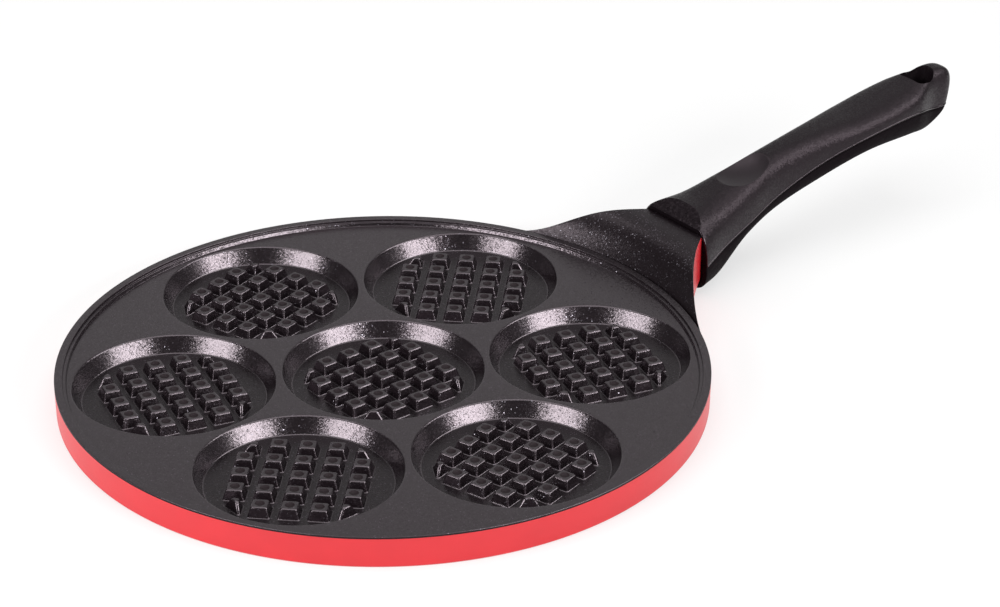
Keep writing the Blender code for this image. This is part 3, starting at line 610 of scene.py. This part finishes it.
def loft(rings, front=0):
    """A closed skin over rings, whose first end takes the finish numbered front."""
    bm = bmesh.new()
    made = add_rings(bm, rings)
    bm.faces.new(made[0]).material_index = front
    bm.faces.new(made[-1])
    return bm


def lofted_object(name, rings, *finishes, front=0):
    """An object whose shape is a closed skin over rings."""
    return make_object(name, loft(rings, front), *finishes)


def turned_cutter(x, profile):
    """A cutter turned round a vertical axis at a place along X."""
    rings = [circle(radius, height, FASTENER_SEGMENTS, (x, 0.0)) for radius, height in profile]
    return lofted_object("turned_cutter", rings)


def stand_for(piece, slot, *nodes):
    """Let a piece ride with the part and stand for nodes of it."""
    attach(piece, "root")
    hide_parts(*nodes)


def combine(thing, other, operation):
    """Join a thing with another, or cut it by the other, once its modifiers are applied."""
    change = thing.modifiers.new(other.name, "BOOLEAN")
    change.operation = operation
    change.object = other
    change.solver = "EXACT"
    return change


def settle(thing):
    """Apply a thing's modifiers, remove its cutters and mark the edges that stay sharp."""
    cutters = [change.object for change in thing.modifiers]
    graph = bpy.context.evaluated_depsgraph_get()
    mesh = bpy.data.meshes.new_from_object(thing.evaluated_get(graph))
    thing.modifiers.clear()
    thing.data = mesh
    mesh.set_sharp_from_angle(angle=SHARP_ANGLE)
    for cutter in set(cutters):
        bpy.data.objects.remove(cutter, do_unlink=True)


def rounded_rectangle(half_width, low, high, corner):
    """A flat outline of (y, z) pairs, centred across and set by its lowest and highest edge."""
    quarter = math.pi / 2
    inner = half_width - corner
    top, bottom = high - corner, low + corner
    spots = ((inner, top), (-inner, top), (-inner, bottom), (inner, bottom))
    outline = []
    for i, spot in enumerate(spots):
        outline += arc(spot, corner, corner, i * quarter, (i + 1) * quarter, ROUNDING_STEPS)
    return outline


# Studs and cups

def rounded_outline(corners, rounding):
    """A closed outline with round corners and evenly many points on each corner and side."""
    arcs = []
    for i, corner in enumerate(corners):
        after = corners[(i + 1) % len(corners)]
        arcs.append(corner_arc(corners[i - 1], corner, after, rounding, CORNER_STEPS))
    outline = []
    for points, following in zip(arcs, arcs[1:] + arcs[:1]):
        outline += [Vector(point) for point in points]
        end, start = outline[-1], Vector(following[0])
        outline += [end.lerp(start, step / SIDE_STEPS) for step in range(1, SIDE_STEPS)]
    return outline


def stud_corners(middle, side, width):
    """Corners of a square stud, or of a three-sided one at a corner of the grid."""
    if side is None:
        signs = ((1, 1), (-1, 1), (-1, -1), (1, -1))
        return [middle + Vector(sign) * width / 2 for sign in signs]
    flank = (width - STUD_TOP_WIDTH) / 2
    leg = CORNER_STUD_LEG + (2 + math.sqrt(2)) * flank
    corner = middle - side * width / 2
    corners = [corner, corner + Vector((side.x * leg, 0.0)), corner + Vector((0.0, side.y * leg))]
    return corners if side.x * side.y > 0 else corners[::-1]


def stud_levels():
    """Widths and heights up a stud's flank, with a round foot and a round top edge."""
    half_base, half_top = STUD_BASE_WIDTH / 2, STUD_TOP_WIDTH / 2
    path = rounded_path(
        [(half_base + STUD_FOOT_ROUNDING, 0.0), (half_base, 0.0), (half_top, STUD_HEIGHT),
         (half_top - 2 * STUD_TOP_ROUNDING, STUD_HEIGHT)],
        [STUD_FOOT_ROUNDING, STUD_TOP_ROUNDING])
    return [(2 * across, up) for across, up in path[1:-1]]


def dimple_levels():
    """Radii and drops of the rings down a stud's dimple: its round lip, then its bowl."""
    inner_lip = DIMPLE_LIP / 3
    levels = [(DIMPLE_RADIUS + DIMPLE_LIP, 0.0), (DIMPLE_RADIUS + inner_lip, inner_lip / 2)]
    for share in DIMPLE_BOWL_SHARES:
        levels.append((DIMPLE_RADIUS * share, DIMPLE_DEPTH * (1 - share ** 2) + inner_lip))
    return levels


def add_stud(bm, column, row):
    """One stud, dimpled unless at a corner of the grid. Returns the vertices of its foot."""
    middle = Vector((column, row)) * STUD_PITCH
    at_corner = abs(column) == STUD_REACH and abs(row) == STUD_REACH
    side = Vector((math.copysign(1, column), math.copysign(1, row))) if at_corner else None
    rings = []
    for width, up in stud_levels():
        narrow = max(STUD_TOP_WIDTH - width, 0.0) / 2
        rounding = max(STUD_CORNER - narrow / 2, LEAST_STUD_CORNER)
        outline = rounded_outline(stud_corners(middle, side, width), rounding)
        rings.append([Vector((p.x, p.y, CUP_FLOOR + up)) for p in outline])
    made = add_rings(bm, rings)
    if at_corner:
        bm.faces.new(made[-1])
        return made[0]
    top = made[-1]
    start = math.atan2(top[0].co.y - middle.y, top[0].co.x - middle.x)
    height = CUP_FLOOR + STUD_HEIGHT
    rings = []
    for radius, drop in dimple_levels():
        ring = arc(middle, radius, radius, start, start + 2 * math.pi, len(top))[:-1]
        rings.append([Vector((x, y, height - drop)) for x, y in ring])
    # The dimple takes the duller finish, whose low specular level paints shade in it.
    dimple = add_rings(bm, rings, DIMPLE_PAINTED_SHADE_SLOT)
    skin(bm, top, dimple[0])
    bm.faces.new(dimple[-1]).material_index = DIMPLE_PAINTED_SHADE_SLOT
    return made[0]


def cup_mesh():
    """Wall, floor and studs of one cup, open at its lip."""
    bm = bmesh.new()
    reach = 2 * CUP_LIP_ROUNDING
    path = rounded_path(
        [(CUP_RADIUS + reach, DECK_HEIGHT), (CUP_RADIUS, DECK_HEIGHT),
         (CUP_FLOOR_RADIUS, CUP_FLOOR), (CUP_FLOOR_RADIUS - reach, CUP_FLOOR)],
        [CUP_LIP_ROUNDING, CUP_FOOT_ROUNDING])
    rings = add_rings(bm, [circle(radius, height, CUP_SEGMENTS) for radius, height in path[1:-1]])
    feet = [rings[-1]]
    for column in range(-STUD_REACH, STUD_REACH + 1):
        for row in range(-STUD_REACH, STUD_REACH + 1):
            feet.append(add_stud(bm, column, row))
    # The floor between the studs takes the less reflective coating, which paints shade there.
    fill(bm, feet, CUP_PAINTED_SHADE_SLOT)
    mesh = bpy.data.meshes.new("cup")
    bm.to_mesh(mesh)
    bm.free()
    return mesh


def cup_places():
    """Where the cups go: one in the middle, six round it with their grids turned step by step."""
    places = [Matrix.Identity(4)]
    for i in range(OUTER_CUPS):
        angle = FIRST_CUP_ANGLE + i * 2 * math.pi / OUTER_CUPS
        spot = Vector((CUP_RING_RADIUS * math.cos(angle), CUP_RING_RADIUS * math.sin(angle), 0.0))
        places.append(Matrix.Translation(spot) @ Matrix.Rotation(angle + CUP_GRID_TURN, 4, "Z"))
    return places


def make_plate():
    """The turned plate with its rim, the deck, and the seven cups set into it."""
    bm = bmesh.new()
    inner_top = PAN_RADIUS - RIM_WIDTH
    ledge_outer = inner_top - RIM_FOOT / 2
    ledge_inner = ledge_outer - RIM_LEDGE
    ledge_height = RIM_TOP - RIM_STEP
    deck_radius = ledge_inner - RIM_FOOT
    low_radius = PAN_RADIUS - WALL_DRAFT
    top = rounded_path(
        [(deck_radius - RIM_FOOT, DECK_HEIGHT), (deck_radius, DECK_HEIGHT),
         (ledge_inner, ledge_height), (ledge_outer, ledge_height), (inner_top, RIM_TOP),
         (PAN_RADIUS, RIM_TOP), (PAN_RADIUS, DECK_HEIGHT)],
        [LEDGE_ROUNDING] * 3 + [RIM_ROUNDING] * 2)
    draft = WALL_DRAFT * (RIM_TOP - DECK_HEIGHT) / RIM_TOP
    coating_edge = top[-2][1] - COATING_OVERLAP
    side = rounded_path(
        [(PAN_RADIUS, coating_edge), (PAN_RADIUS - draft, DECK_HEIGHT), (low_radius, 0.0),
         (0.0, 0.0)],
        [0, BASE_EDGE], BASE_EDGE_STEPS)

    def turned(path, slot):
        rings = [circle(radius, height, PLATE_SEGMENTS) for radius, height in path]
        return add_rings(bm, rings, slot)

    inside = turned(top[:-1], COATING_SLOT)
    # The coating laps over the rim and ends on the wall in a duller strip, whose low specular level
    # paints shade there
    turned((top[-2], side[0]), DIMPLE_PAINTED_SHADE_SLOT)
    outside = turned(side[:-1], ENAMEL_SLOT)
    bm.faces.new(outside[-1]).material_index = ENAMEL_SLOT
    # Where the neck meets the wall, the coating goes on down to the neck's top
    for vertex in outside[0]:
        for face in vertex.link_faces:
            middle = face.calc_center_median()
            if middle.x > 0 and abs(middle.y) < NECK_ROOT_HALF_WIDTH:
                face.material_index = COATING_SLOT

    mesh = cup_mesh()
    lips = []
    for place in cup_places():
        start = len(bm.verts)
        copy = mesh.copy()
        copy.transform(place)
        bm.from_mesh(copy)
        bpy.data.meshes.remove(copy)
        bm.verts.ensure_lookup_table()
        lips.append([bm.verts[start + i] for i in range(CUP_SEGMENTS)])
    fill(bm, [inside[0]] + lips)
    bmesh.ops.remove_doubles(bm, verts=bm.verts, dist=WELD_DISTANCE)
    plate = make_object("pan_plate", bm, COATING_FINISH, ENAMEL_FINISH, DIMPLE_PAINTED_SHADE_FINISH, CUP_PAINTED_SHADE_FINISH)
    weighted = plate.modifiers.new("even_shading", "WEIGHTED_NORMAL")
    weighted.keep_sharp = True
    stand_for(plate, "nonstick_coating", "pan_casting")


# Neck and tongue

def bezier(points, share):
    """A point on a cubic curve given by its two ends and two pulls."""
    rest = 1 - share
    weights = (rest ** 3, 3 * rest ** 2 * share, 3 * rest * share ** 2, share ** 3)
    return (
        sum(weight * point[0] for weight, point in zip(weights, points)),
        sum(weight * point[1] for weight, point in zip(weights, points)),
    )


def neck_top_height(radius):
    """Height of the neck's top at a distance from the pan's centre: steep, then level."""
    share = min(max((radius - PAN_RADIUS) / NECK_SHOULDER_RUN, 0.0), 1.0)
    return DECK_HEIGHT + NECK_TOP_RISE * (1 - (1 - share) ** NECK_SHOULDER_POWER)


def neck_bottom_height(radius):
    """Height of the neck's underside at a distance from the pan's centre."""
    share = max((radius - PAN_RADIUS) / NECK_LENGTH, 0.0)
    return NECK_UNDERSIDE + NECK_UNDERSIDE_RISE * share ** 2


def neck_edge():
    """Ends and pulls of the curve that the neck's side follows in plan."""
    root_radius = PAN_RADIUS - NECK_ROOT_DEPTH
    root = (math.sqrt(root_radius ** 2 - NECK_ROOT_HALF_WIDTH ** 2), NECK_ROOT_HALF_WIDTH)
    end = (NECK_END, NECK_END_HALF_WIDTH)
    root_pull = (root[0] + NECK_ROOT_PULL * math.cos(NECK_ROOT_DIRECTION),
                 root[1] - NECK_ROOT_PULL * math.sin(NECK_ROOT_DIRECTION))
    end_pull = (end[0] - NECK_END_PULL * math.cos(NECK_END_DIRECTION),
                end[1] + NECK_END_PULL * math.sin(NECK_END_DIRECTION))
    return root, root_pull, end_pull, end


def neck_ring(share, clearance=0.0):
    """One section of the neck, bowed like the rim at its root and straight at its end."""
    edge = neck_edge()
    edge_x, edge_y = bezier(edge, share)
    edge_y += clearance
    root_x = edge[0][0]
    bow = (PAN_RADIUS - NECK_ROOT_DEPTH - root_x) * ((NECK_END - edge_x) / (NECK_END - root_x)) ** 2

    def spot(y):
        return edge_x + bow * (1 - (y / edge_y) ** 2)

    def lower(y, rise):
        return Vector((spot(y), y, neck_bottom_height(math.hypot(spot(y), y)) - clearance + rise))

    def upper(y, drop):
        return Vector((spot(y), y, neck_top_height(math.hypot(spot(y), y)) + clearance - drop))

    top_half = edge_y - NECK_TOP_EDGE
    bottom_half = edge_y - NECK_BOTTOM_EDGE
    turn = math.pi / 2 / NECK_CORNER_STEPS
    ring = [upper(top_half * (1 - 2 * i / NECK_TOP_STEPS), 0.0) for i in range(NECK_TOP_STEPS + 1)]
    for i in range(1, NECK_CORNER_STEPS + 1):
        ring.append(upper(-top_half - NECK_TOP_EDGE * math.sin(i * turn),
                          NECK_TOP_EDGE * (1 - math.cos(i * turn))))
    for i in range(NECK_CORNER_STEPS + 1):
        ring.append(lower(-bottom_half - NECK_BOTTOM_EDGE * math.cos(i * turn),
                          NECK_BOTTOM_EDGE * (1 - math.sin(i * turn))))
    for i in range(1, NECK_TOP_STEPS):
        ring.append(lower(-bottom_half * (1 - 2 * i / NECK_TOP_STEPS), 0.0))
    for i in range(NECK_CORNER_STEPS + 1):
        ring.append(lower(bottom_half + NECK_BOTTOM_EDGE * math.sin(i * turn),
                          NECK_BOTTOM_EDGE * (1 - math.cos(i * turn))))
    for i in range(NECK_CORNER_STEPS):
        ring.append(upper(top_half + NECK_TOP_EDGE * math.cos(i * turn),
                          NECK_TOP_EDGE * (1 - math.sin(i * turn))))
    return ring


def close_neck(bm, ring):
    """Close one end of the neck with a strip of faces between its top row and its bottom row."""
    top = ring[:NECK_TOP_STEPS + 1]
    start = NECK_TOP_STEPS + 2 * NECK_CORNER_STEPS + 1
    bottom = ring[start:start + NECK_TOP_STEPS + 1][::-1]
    right = ring[NECK_TOP_STEPS:start + 1]
    left = ring[start + NECK_TOP_STEPS:] + ring[:1]
    for i in range(NECK_TOP_STEPS):
        bm.faces.new((top[i], top[i + 1], bottom[i + 1], bottom[i]))
    bm.faces.new(right)
    bm.faces.new(left)


def neck_mesh(clearance=0.0, reach=0.0):
    """The neck as a closed body, or the space that it takes inside the handle's mouth."""
    bm = bmesh.new()
    rings = [neck_ring(i / NECK_STATIONS, clearance) for i in range(NECK_STATIONS + 1)]
    if reach:
        rings.append([point + Vector((reach, 0.0, 0.0)) for point in rings[-1]])
    made = add_rings(bm, rings)
    close_neck(bm, made[0])
    close_neck(bm, made[-1])
    return bm


def tongue_middle(x):
    """Height of the tongue's middle at a place along X."""
    return TONGUE_HEIGHT + (x - NECK_END) * TONGUE_RISE / TONGUE_LENGTH


def tongue_mesh(clearance=0.0):
    """The tongue, which rises from inside the neck's end, or the space that it takes."""
    half = TONGUE_THICKNESS / 2 + clearance
    rings = []
    for x in (NECK_END - TONGUE_ROOT, TONGUE_END + clearance):
        middle = tongue_middle(x)
        width = TONGUE_HALF_WIDTH + clearance
        outline = rounded_rectangle(width, middle - half, middle + half, TONGUE_CORNER)
        rings.append([Vector((x, y, z)) for y, z in outline])
    return loft(rings)


def make_neck():
    """The neck and its tongue: coated on top, enamelled at the sides and below."""
    bm = neck_mesh()
    for face in bm.faces:
        middle = face.calc_center_median()
        on_top = middle.z > neck_top_height(math.hypot(middle.x, middle.y)) - NECK_TOP_EDGE / 2
        face.material_index = COATING_SLOT if on_top else ENAMEL_SLOT
    neck = make_object("pan_neck", bm, NECK_FINISH, ENAMEL_FINISH)
    bm = tongue_mesh()
    for face in bm.faces:
        face.material_index = ENAMEL_SLOT
    tongue = make_object("tongue_block", bm, NECK_FINISH, ENAMEL_FINISH)
    combine(neck, tongue, "UNION")
    middle = tongue_middle(SCREW_X)
    radius = INSERT_RADIUS + GAP
    ends = (middle - TONGUE_THICKNESS, middle + TONGUE_THICKNESS)
    bore = turned_cutter(SCREW_X, [(radius, height) for height in ends])
    combine(neck, bore, "DIFFERENCE")
    settle(neck)
    stand_for(neck, "nonstick_coating", "pan_casting")


# Handle

def handle_value(column, x):
    """Read one column of the handle's lines as a smooth curve at a place along X."""
    share = (x - MOUTH_X) / HANDLE_LENGTH
    rows = HANDLE_LINE_SHARES
    last = len(rows) - 1
    i = 0
    while i < last - 1 and rows[i + 1][0] < share:
        i += 1

    def slope(k):
        low, high = max(k - 1, 0), min(k + 1, last)
        return (rows[high][column] - rows[low][column]) / (rows[high][0] - rows[low][0])

    span = rows[i + 1][0] - rows[i][0]
    t = (share - rows[i][0]) / span
    return (
        (2 * t ** 3 - 3 * t ** 2 + 1) * rows[i][column]
        + (t ** 3 - 2 * t ** 2 + t) * span * slope(i)
        + (3 * t ** 2 - 2 * t ** 3) * rows[i + 1][column]
        + (t ** 3 - t ** 2) * span * slope(i + 1)
    )


def half_width(x):
    return MOUTH_HALF_WIDTH * handle_value(1, x)


def top_line(x):
    return MOUTH_TOP + TOP_RISE * handle_value(2, x)


def seam_line(x):
    return MOUTH_SEAM + SEAM_RISE * handle_value(3, x)


def bottom_line(x):
    return MOUTH_BOTTOM + BOTTOM_RISE * handle_value(4, x)


def handle_places():
    """Places along X for the sections, each with its inset at the mouth and share of the end."""
    straight_end = HANDLE_END - END_ROUNDING
    places = []
    for i in range(ROUNDING_STEPS):
        angle = math.pi / 2 * i / ROUNDING_STEPS
        x = MOUTH_X + MOUTH_ROUNDING * (1 - math.cos(angle))
        places.append((x, MOUTH_ROUNDING * (1 - math.sin(angle)), 0.0))
    start = MOUTH_X + MOUTH_ROUNDING
    for i in range(HANDLE_STATIONS):
        places.append((start + (straight_end - start) * i / HANDLE_STATIONS, 0.0, 0.0))
    for i in range(END_STATIONS + 1):
        share = math.sin(LAST_RING_TURN * i / END_STATIONS)
        places.append((straight_end + (END_ROUNDING - END_TRIM) * share, 0.0, share))
    return places


def taper(share, fullness):
    """How much of a size is left at a share of the way round a full, blunt end."""
    return (1 - share ** fullness) ** (1 / fullness)


def half_section(x, width, middle, height, steps=HALF_STEPS):
    """Half of a full oval at a place along X, from its +Y side over to its -Y side."""
    blend = max(1 - (x - MOUTH_X) / MOUTH_BLEND, 0.0) ** 2
    if height > 0:
        fullness = UPPER_FULLNESS + (UPPER_MOUTH_FULLNESS - UPPER_FULLNESS) * blend
    else:
        fullness = LOWER_FULLNESS + (LOWER_MOUTH_FULLNESS - LOWER_FULLNESS) * blend
    power = 2 / fullness
    points = []
    for i in range(steps + 1):
        angle = math.pi * i / steps
        across = math.copysign(abs(math.cos(angle)) ** power, math.cos(angle))
        points.append(Vector((x, width * across, middle + height * abs(math.sin(angle)) ** power)))
    return points


def seam_bead(x, width, middle, height, stand):
    """The round edge of a shell at the seam, which may stand a little proud of its side."""
    radius = min(SEAM_ROUNDING, width * BEAD_WIDTH_SHARE, abs(height) * BEAD_HEIGHT_SHARE)
    stand = min(stand, radius)
    points = []
    for i in range(2 * ROUNDING_STEPS):
        angle = math.pi / 2 * (i / ROUNDING_STEPS - 1)
        y = width + stand - radius * (1 - math.cos(angle))
        z = middle + math.copysign(radius * (1 + math.sin(angle)), height)
        points.append(Vector((x, y, z)))
    return points


def shell_rings(upper):
    """Sections of one shell. Round the end they lean back, the more the lower a point lies."""
    rings = []
    for x, inset, share in handle_places():
        top = top_line(x)
        bottom = bottom_line(x)
        if upper:
            width = half_width(x)
            middle = seam_line(x) + GAP / 2
            height = top - middle - inset
        else:
            width = half_width(x) - SEAM_STEP
            middle = seam_line(x) - GAP / 2
            height = bottom - middle + inset
        width = (width - inset) * taper(share, END_FULLNESS)
        height *= taper(share, END_FACE_FULLNESS)
        section = half_section(x, width, middle, height)[1:-1]
        bead = seam_bead(x, width, middle, height, BEAD_STAND if upper else 0.0)
        ring = bead + section + [Vector((p.x, -p.y, p.z)) for p in reversed(bead)]
        for point in ring:
            point.x -= END_LEAN * share ** 2 * (top - point.z) / (top - bottom)
        rings.append(ring)
    return rings


def core_rings():
    """Sections of the hollow inside the handle, one wall in from the outside."""
    rings = []
    for i in range(CORE_STEPS + 1):
        x = CORE_START + (CORE_END - CORE_START) * i / CORE_STEPS
        seam = seam_line(x)
        width = half_width(x) - SEAM_STEP - SHELL_WALL
        over = half_section(x, width, seam, top_line(x) - SHELL_WALL - seam, CORE_STEPS)
        under = half_section(x, width, seam, bottom_line(x) + SHELL_WALL - seam, CORE_STEPS)
        rings.append(over + under[-2:0:-1])
    return rings


def dish_roller(name, backing=0.0):
    """Roller that hollows the thumb dish into the handle's top, or a larger one that backs it."""
    half = DISH_LENGTH / 2
    rise = top_line(DISH_X + half) - top_line(DISH_X - half)
    lean = math.atan2(rise, DISH_LENGTH)
    radius = (half ** 2 + DISH_DEPTH ** 2) / (2 * DISH_DEPTH)
    lift = radius - DISH_DEPTH
    centre = Vector((DISH_X - lift * math.sin(lean), 0.0, top_line(DISH_X) + lift * math.cos(lean)))
    rings = []
    for i in range(DISH_SLICES + 1):
        y = MOUTH_HALF_WIDTH * (2 * i / DISH_SLICES - 1)
        sag = y ** 2 / (2 * DISH_CROWN_RADIUS)
        rings.append([
            centre + Vector((point.x, y, point.y))
            for point in circle(radius + backing - sag, 0.0, DISH_SEGMENTS)
        ])
    return lofted_object(name, rings, DISH_FINISH)


def facet_wedge():
    """Wedge that slopes the front of the handle back from the neck's top."""
    foot = neck_top_height(NECK_END) + GAP + FACET_LIP
    height = 2 * FACET_RISE
    back = height * FACET_RUN / FACET_RISE
    outline = [(-OVERRUN, 0.0), (0.0, 0.0), (back, height), (-OVERRUN, height)]
    rings = [
        [Vector((MOUTH_X + along, side * 2 * MOUTH_HALF_WIDTH, foot + up)) for along, up in outline]
        for side in (-1, 1)
    ]
    return lofted_object("facet_wedge", rings, FACET_FINISH)


def hang_hole_cutter():
    """Hole with a straight front edge and a round back, right through the handle's end."""
    quarter = math.pi / 2
    corner = HANG_HOLE_CORNER
    width = HANG_HOLE_HALF_WIDTH
    front = HANG_HOLE_X - HANG_HOLE_FRONT + corner
    outline = arc((HANG_HOLE_X, 0.0), HANG_HOLE_BACK, width, -quarter, quarter, HANG_HOLE_STEPS)
    for side, start in ((1, quarter), (-1, 2 * quarter)):
        spot = (front, side * (width - corner))
        outline += arc(spot, corner, corner, start, start + quarter, HANG_HOLE_STEPS // 2)
    low = bottom_line(HANG_HOLE_X) - SHELL_WALL
    high = top_line(HANG_HOLE_X)
    rings = []
    for z, share in ((low, HANG_HOLE_FOOT_SHARE), (high, 1.0), (high + 2 * SHELL_WALL, 1.0)):
        rings.append([
            Vector((HANG_HOLE_X + (x - HANG_HOLE_X) * share, y * share, z)) for x, y in outline
        ])
    return lofted_object("hang_hole", rings)


def screw_seat():
    """Height of the face that the handle screw's washers bear on."""
    return tongue_middle(SCREW_X) - TONGUE_THICKNESS / 2 - GAP - SCREW_SEAT_FLOOR


def make_air():
    """The air inside the handle, with columns left out of it where the screw bosses stand."""
    air = lofted_object("handle_air", core_rings())
    bosses = [(SCREW_X, SCREW_BOSS_RADIUS)] + [(x, SHELL_BOSS_RADIUS) for x in SHELL_SCREW_PLACES]
    for x, radius in bosses:
        boss = turned_cutter(x, [(radius, bottom_line(x)), (radius, top_line(x))])
        combine(air, boss, "DIFFERENCE")
    combine(air, dish_roller("dish_backing", SHELL_WALL), "DIFFERENCE")
    settle(air)
    return air


def cut_shell(shell, cutters):
    """Cut a shell by copies of its cutters, so that each can be cleared away afterwards."""
    for cutter in cutters:
        if not cutter.data.materials:
            cutter.data.materials.append(GRIP_FINISH)
        copy = cutter.copy()
        bpy.context.scene.collection.objects.link(copy)
        combine(shell, copy, "DIFFERENCE").material_mode = "TRANSFER"


def make_handle():
    """Both shells, cut by the neck, tongue, hollow, hang hole, facet, dish and screws."""
    pocket = make_object("neck_pocket", neck_mesh(GAP, POCKET_END - NECK_END))
    slot = make_object("tongue_slot", tongue_mesh(GAP))
    shared = [pocket, slot, make_air(), hang_hole_cutter()]

    finishes = (GRIP_FINISH, UNDER_PAINTED_SHADE_FINISH, EDGE_FINISH)
    # Its front face at the mouth takes the matt finish, whose low specular level paints shade there.
    upper = lofted_object("handle_upper", shell_rings(True), *finishes, front=UNDER_PAINTED_SHADE_SLOT)
    for face in upper.data.polygons:
        at_seam = 0 < face.center.z - seam_line(face.center.x) - GAP / 2 < 2 * SEAM_ROUNDING
        at_mouth = MOUTH_FRONT_SHARE < (face.center.x - MOUTH_X) / MOUTH_ROUNDING < 1
        if at_seam or at_mouth:
            face.material_index = EDGE_SLOT
    own = [facet_wedge(), dish_roller("dish")]
    for x in SHELL_SCREW_PLACES:
        tip = bottom_line(x) + SHELL_SCREW_SEAT + SHELL_SCREW_LENGTH + 2 * GAP
        radius = SHELL_SCREW_RADIUS + GAP
        own.append(turned_cutter(x, [(radius, seam_line(x) - OVERRUN), (radius, tip)]))
    cut_shell(upper, shared + own)
    settle(upper)
    stand_for(upper, "handle_plastic", "grip_upper_shell")

    # The lower shell takes the matt finish, whose low specular level paints shade on it.
    lower = lofted_object("handle_lower", shell_rings(False), UNDER_PAINTED_SHADE_FINISH)
    seats = [(SCREW_X, screw_seat(), SCREW_RADIUS, WASHER_RADIUS)]
    for x in SHELL_SCREW_PLACES:
        seat = bottom_line(x) + SHELL_SCREW_SEAT
        seats.append((x, seat, SHELL_SCREW_RADIUS, SHELL_SCREW_HEAD_RADIUS))
    bores = []
    for x, seat, shank, head in seats:
        bores.append(turned_cutter(x, [
            (head + COUNTERBORE_CLEARANCE, MOUTH_BOTTOM - SHELL_WALL),
            (head + COUNTERBORE_CLEARANCE, seat),
            (shank + GAP, seat),
            (shank + GAP, seam_line(x) + OVERRUN),
        ]))
    cut_shell(lower, shared + bores)
    settle(lower)
    stand_for(lower, "handle_plastic", "grip_lower_shell")
    for cutter in shared + own + bores:
        bpy.data.objects.remove(cutter, do_unlink=True)


make_plate()
make_neck()
make_handle()

# Floor, lights and camera

FLOOR_RADIUS = 9.0
FLOOR_SEGMENTS = 96
FLOOR_LIFT_SHARE = 0.62
WHITE = (1.0, 1.0, 1.0, 1.0)
WORLD_STRENGTH = 0.08
LIGHT_AIM = Vector((0.06, 0.0, 0.0))

# Softboxes that face LIGHT_AIM: azimuth and elevation in degrees, distance, width, height, power
PANELS = {
    "softbox_left": (-52, 26, 2.0, 1.45, 0.42, 19.5),
    "softbox_right": (52, 26, 2.0, 1.45, 0.42, 23.5),
    "softbox_back": (180, 32, 2.6, 3.0, 1.2, 3.9),
    "softbox_low": (180, 11, 2.6, 3.6, 0.9, 3.4),
    "softbox_side": (94, 40, 2.0, 1.3, 0.7, 17),
    "softbox_fill": (-75, 18, 2.0, 1.2, 0.8, 10),
    "softbox_top": (0, 88, 2.4, 3.2, 3.2, 51),
}

VIEW_TURN = math.radians(-39.17)
VIEW_TILT = math.radians(61.79)
VIEW_ROLL = math.radians(0.2424)
VIEW_PLACE = Vector((-0.75838, -1.0053, 0.71652))
LENS = 128.3
SENSOR = 36.0
FAR_CLIP = 50.0


def floor_material():
    """White floor that keeps a soft shadow, lifted towards white where it is seen or mirrored."""
    nodes = Nodes("floor_white")
    nodes.set(Roughness=0.9, Base_Color=FLOOR)
    path = nodes.tree.nodes.new("ShaderNodeLightPath")
    seen = path.outputs["Is Camera Ray"]
    for name in ("Is Glossy Ray", "Is Transmission Ray"):
        either = nodes.tree.nodes.new("ShaderNodeMath")
        either.operation = "MAXIMUM"
        nodes.link(seen, either, 0)
        nodes.link(path.outputs[name], either, 1)
        seen = either.outputs["Value"]
    glow = nodes.tree.nodes.new("ShaderNodeEmission")
    mixed = nodes.tree.nodes.new("ShaderNodeMixShader")
    nodes.link(nodes.ramp(seen, 0.0, 1.0, 0.0, FLOOR_LIFT_SHARE), mixed, 0)
    nodes.link(nodes.shader.outputs["BSDF"], mixed, 1)
    nodes.link(glow.outputs["Emission"], mixed, 2)
    nodes.link(mixed.outputs["Shader"], nodes.tree.nodes["Material Output"], "Surface")
    return nodes.material


def make_floor():
    """A wide floor that only sets the stage."""
    bm = bmesh.new()
    bmesh.ops.create_circle(bm, cap_ends=True, segments=FLOOR_SEGMENTS, radius=FLOOR_RADIUS)
    mesh = bpy.data.meshes.new("floor")
    bm.to_mesh(mesh)
    bm.free()
    mesh.materials.append(floor_material())
    floor = new_object("floor", mesh)


def add_panel(name, azimuth, elevation, distance, width, height, power):
    """A softbox that faces the pan, at an azimuth measured from the photograph's viewpoint."""
    light = bpy.data.lights.new(name, "AREA")
    light.shape = "RECTANGLE"
    light.size = width
    light.size_y = height
    light.energy = power
    turn = VIEW_TURN + math.radians(azimuth)
    rise = math.radians(elevation)
    level = math.cos(rise)
    back = Vector((math.sin(turn) * level, -math.cos(turn) * level, math.sin(rise)))
    panel = new_object(name, light)
    panel.location = LIGHT_AIM + back * distance
    panel.rotation_mode = "QUATERNION"
    panel.rotation_quaternion = back.to_track_quat("Z", "Y")
    panel.visible_camera = False
    return panel


def light_scene():
    """A faint white world, and the softboxes, of which one only glosses and one only fills."""
    world = bpy.data.worlds.new("studio")
    world.use_nodes = True
    bpy.context.scene.world = world
    background = world.node_tree.nodes["Background"]
    background.inputs["Color"].default_value = WHITE
    background.inputs["Strength"].default_value = WORLD_STRENGTH
    panels = {name: add_panel(name, *values) for name, values in PANELS.items()}
    panels["softbox_side"].visible_diffuse = False
    panels["softbox_fill"].visible_glossy = False


def make_camera():
    """The camera that matches the photograph's view."""
    camera = bpy.data.cameras.new("camera")
    camera.lens = LENS
    camera.sensor_width = SENSOR
    camera.clip_end = FAR_CLIP
    holder = new_object("camera", camera)
    turn = Matrix.Rotation(VIEW_TURN, 4, "Z") @ Matrix.Rotation(VIEW_TILT, 4, "X")
    holder.matrix_world = Matrix.Translation(VIEW_PLACE) @ turn @ Matrix.Rotation(VIEW_ROLL, 4, "Z")
    bpy.context.scene.camera = holder


make_floor()
light_scene()
make_camera()
bpy.context.scene.view_settings.view_transform = "Standard"
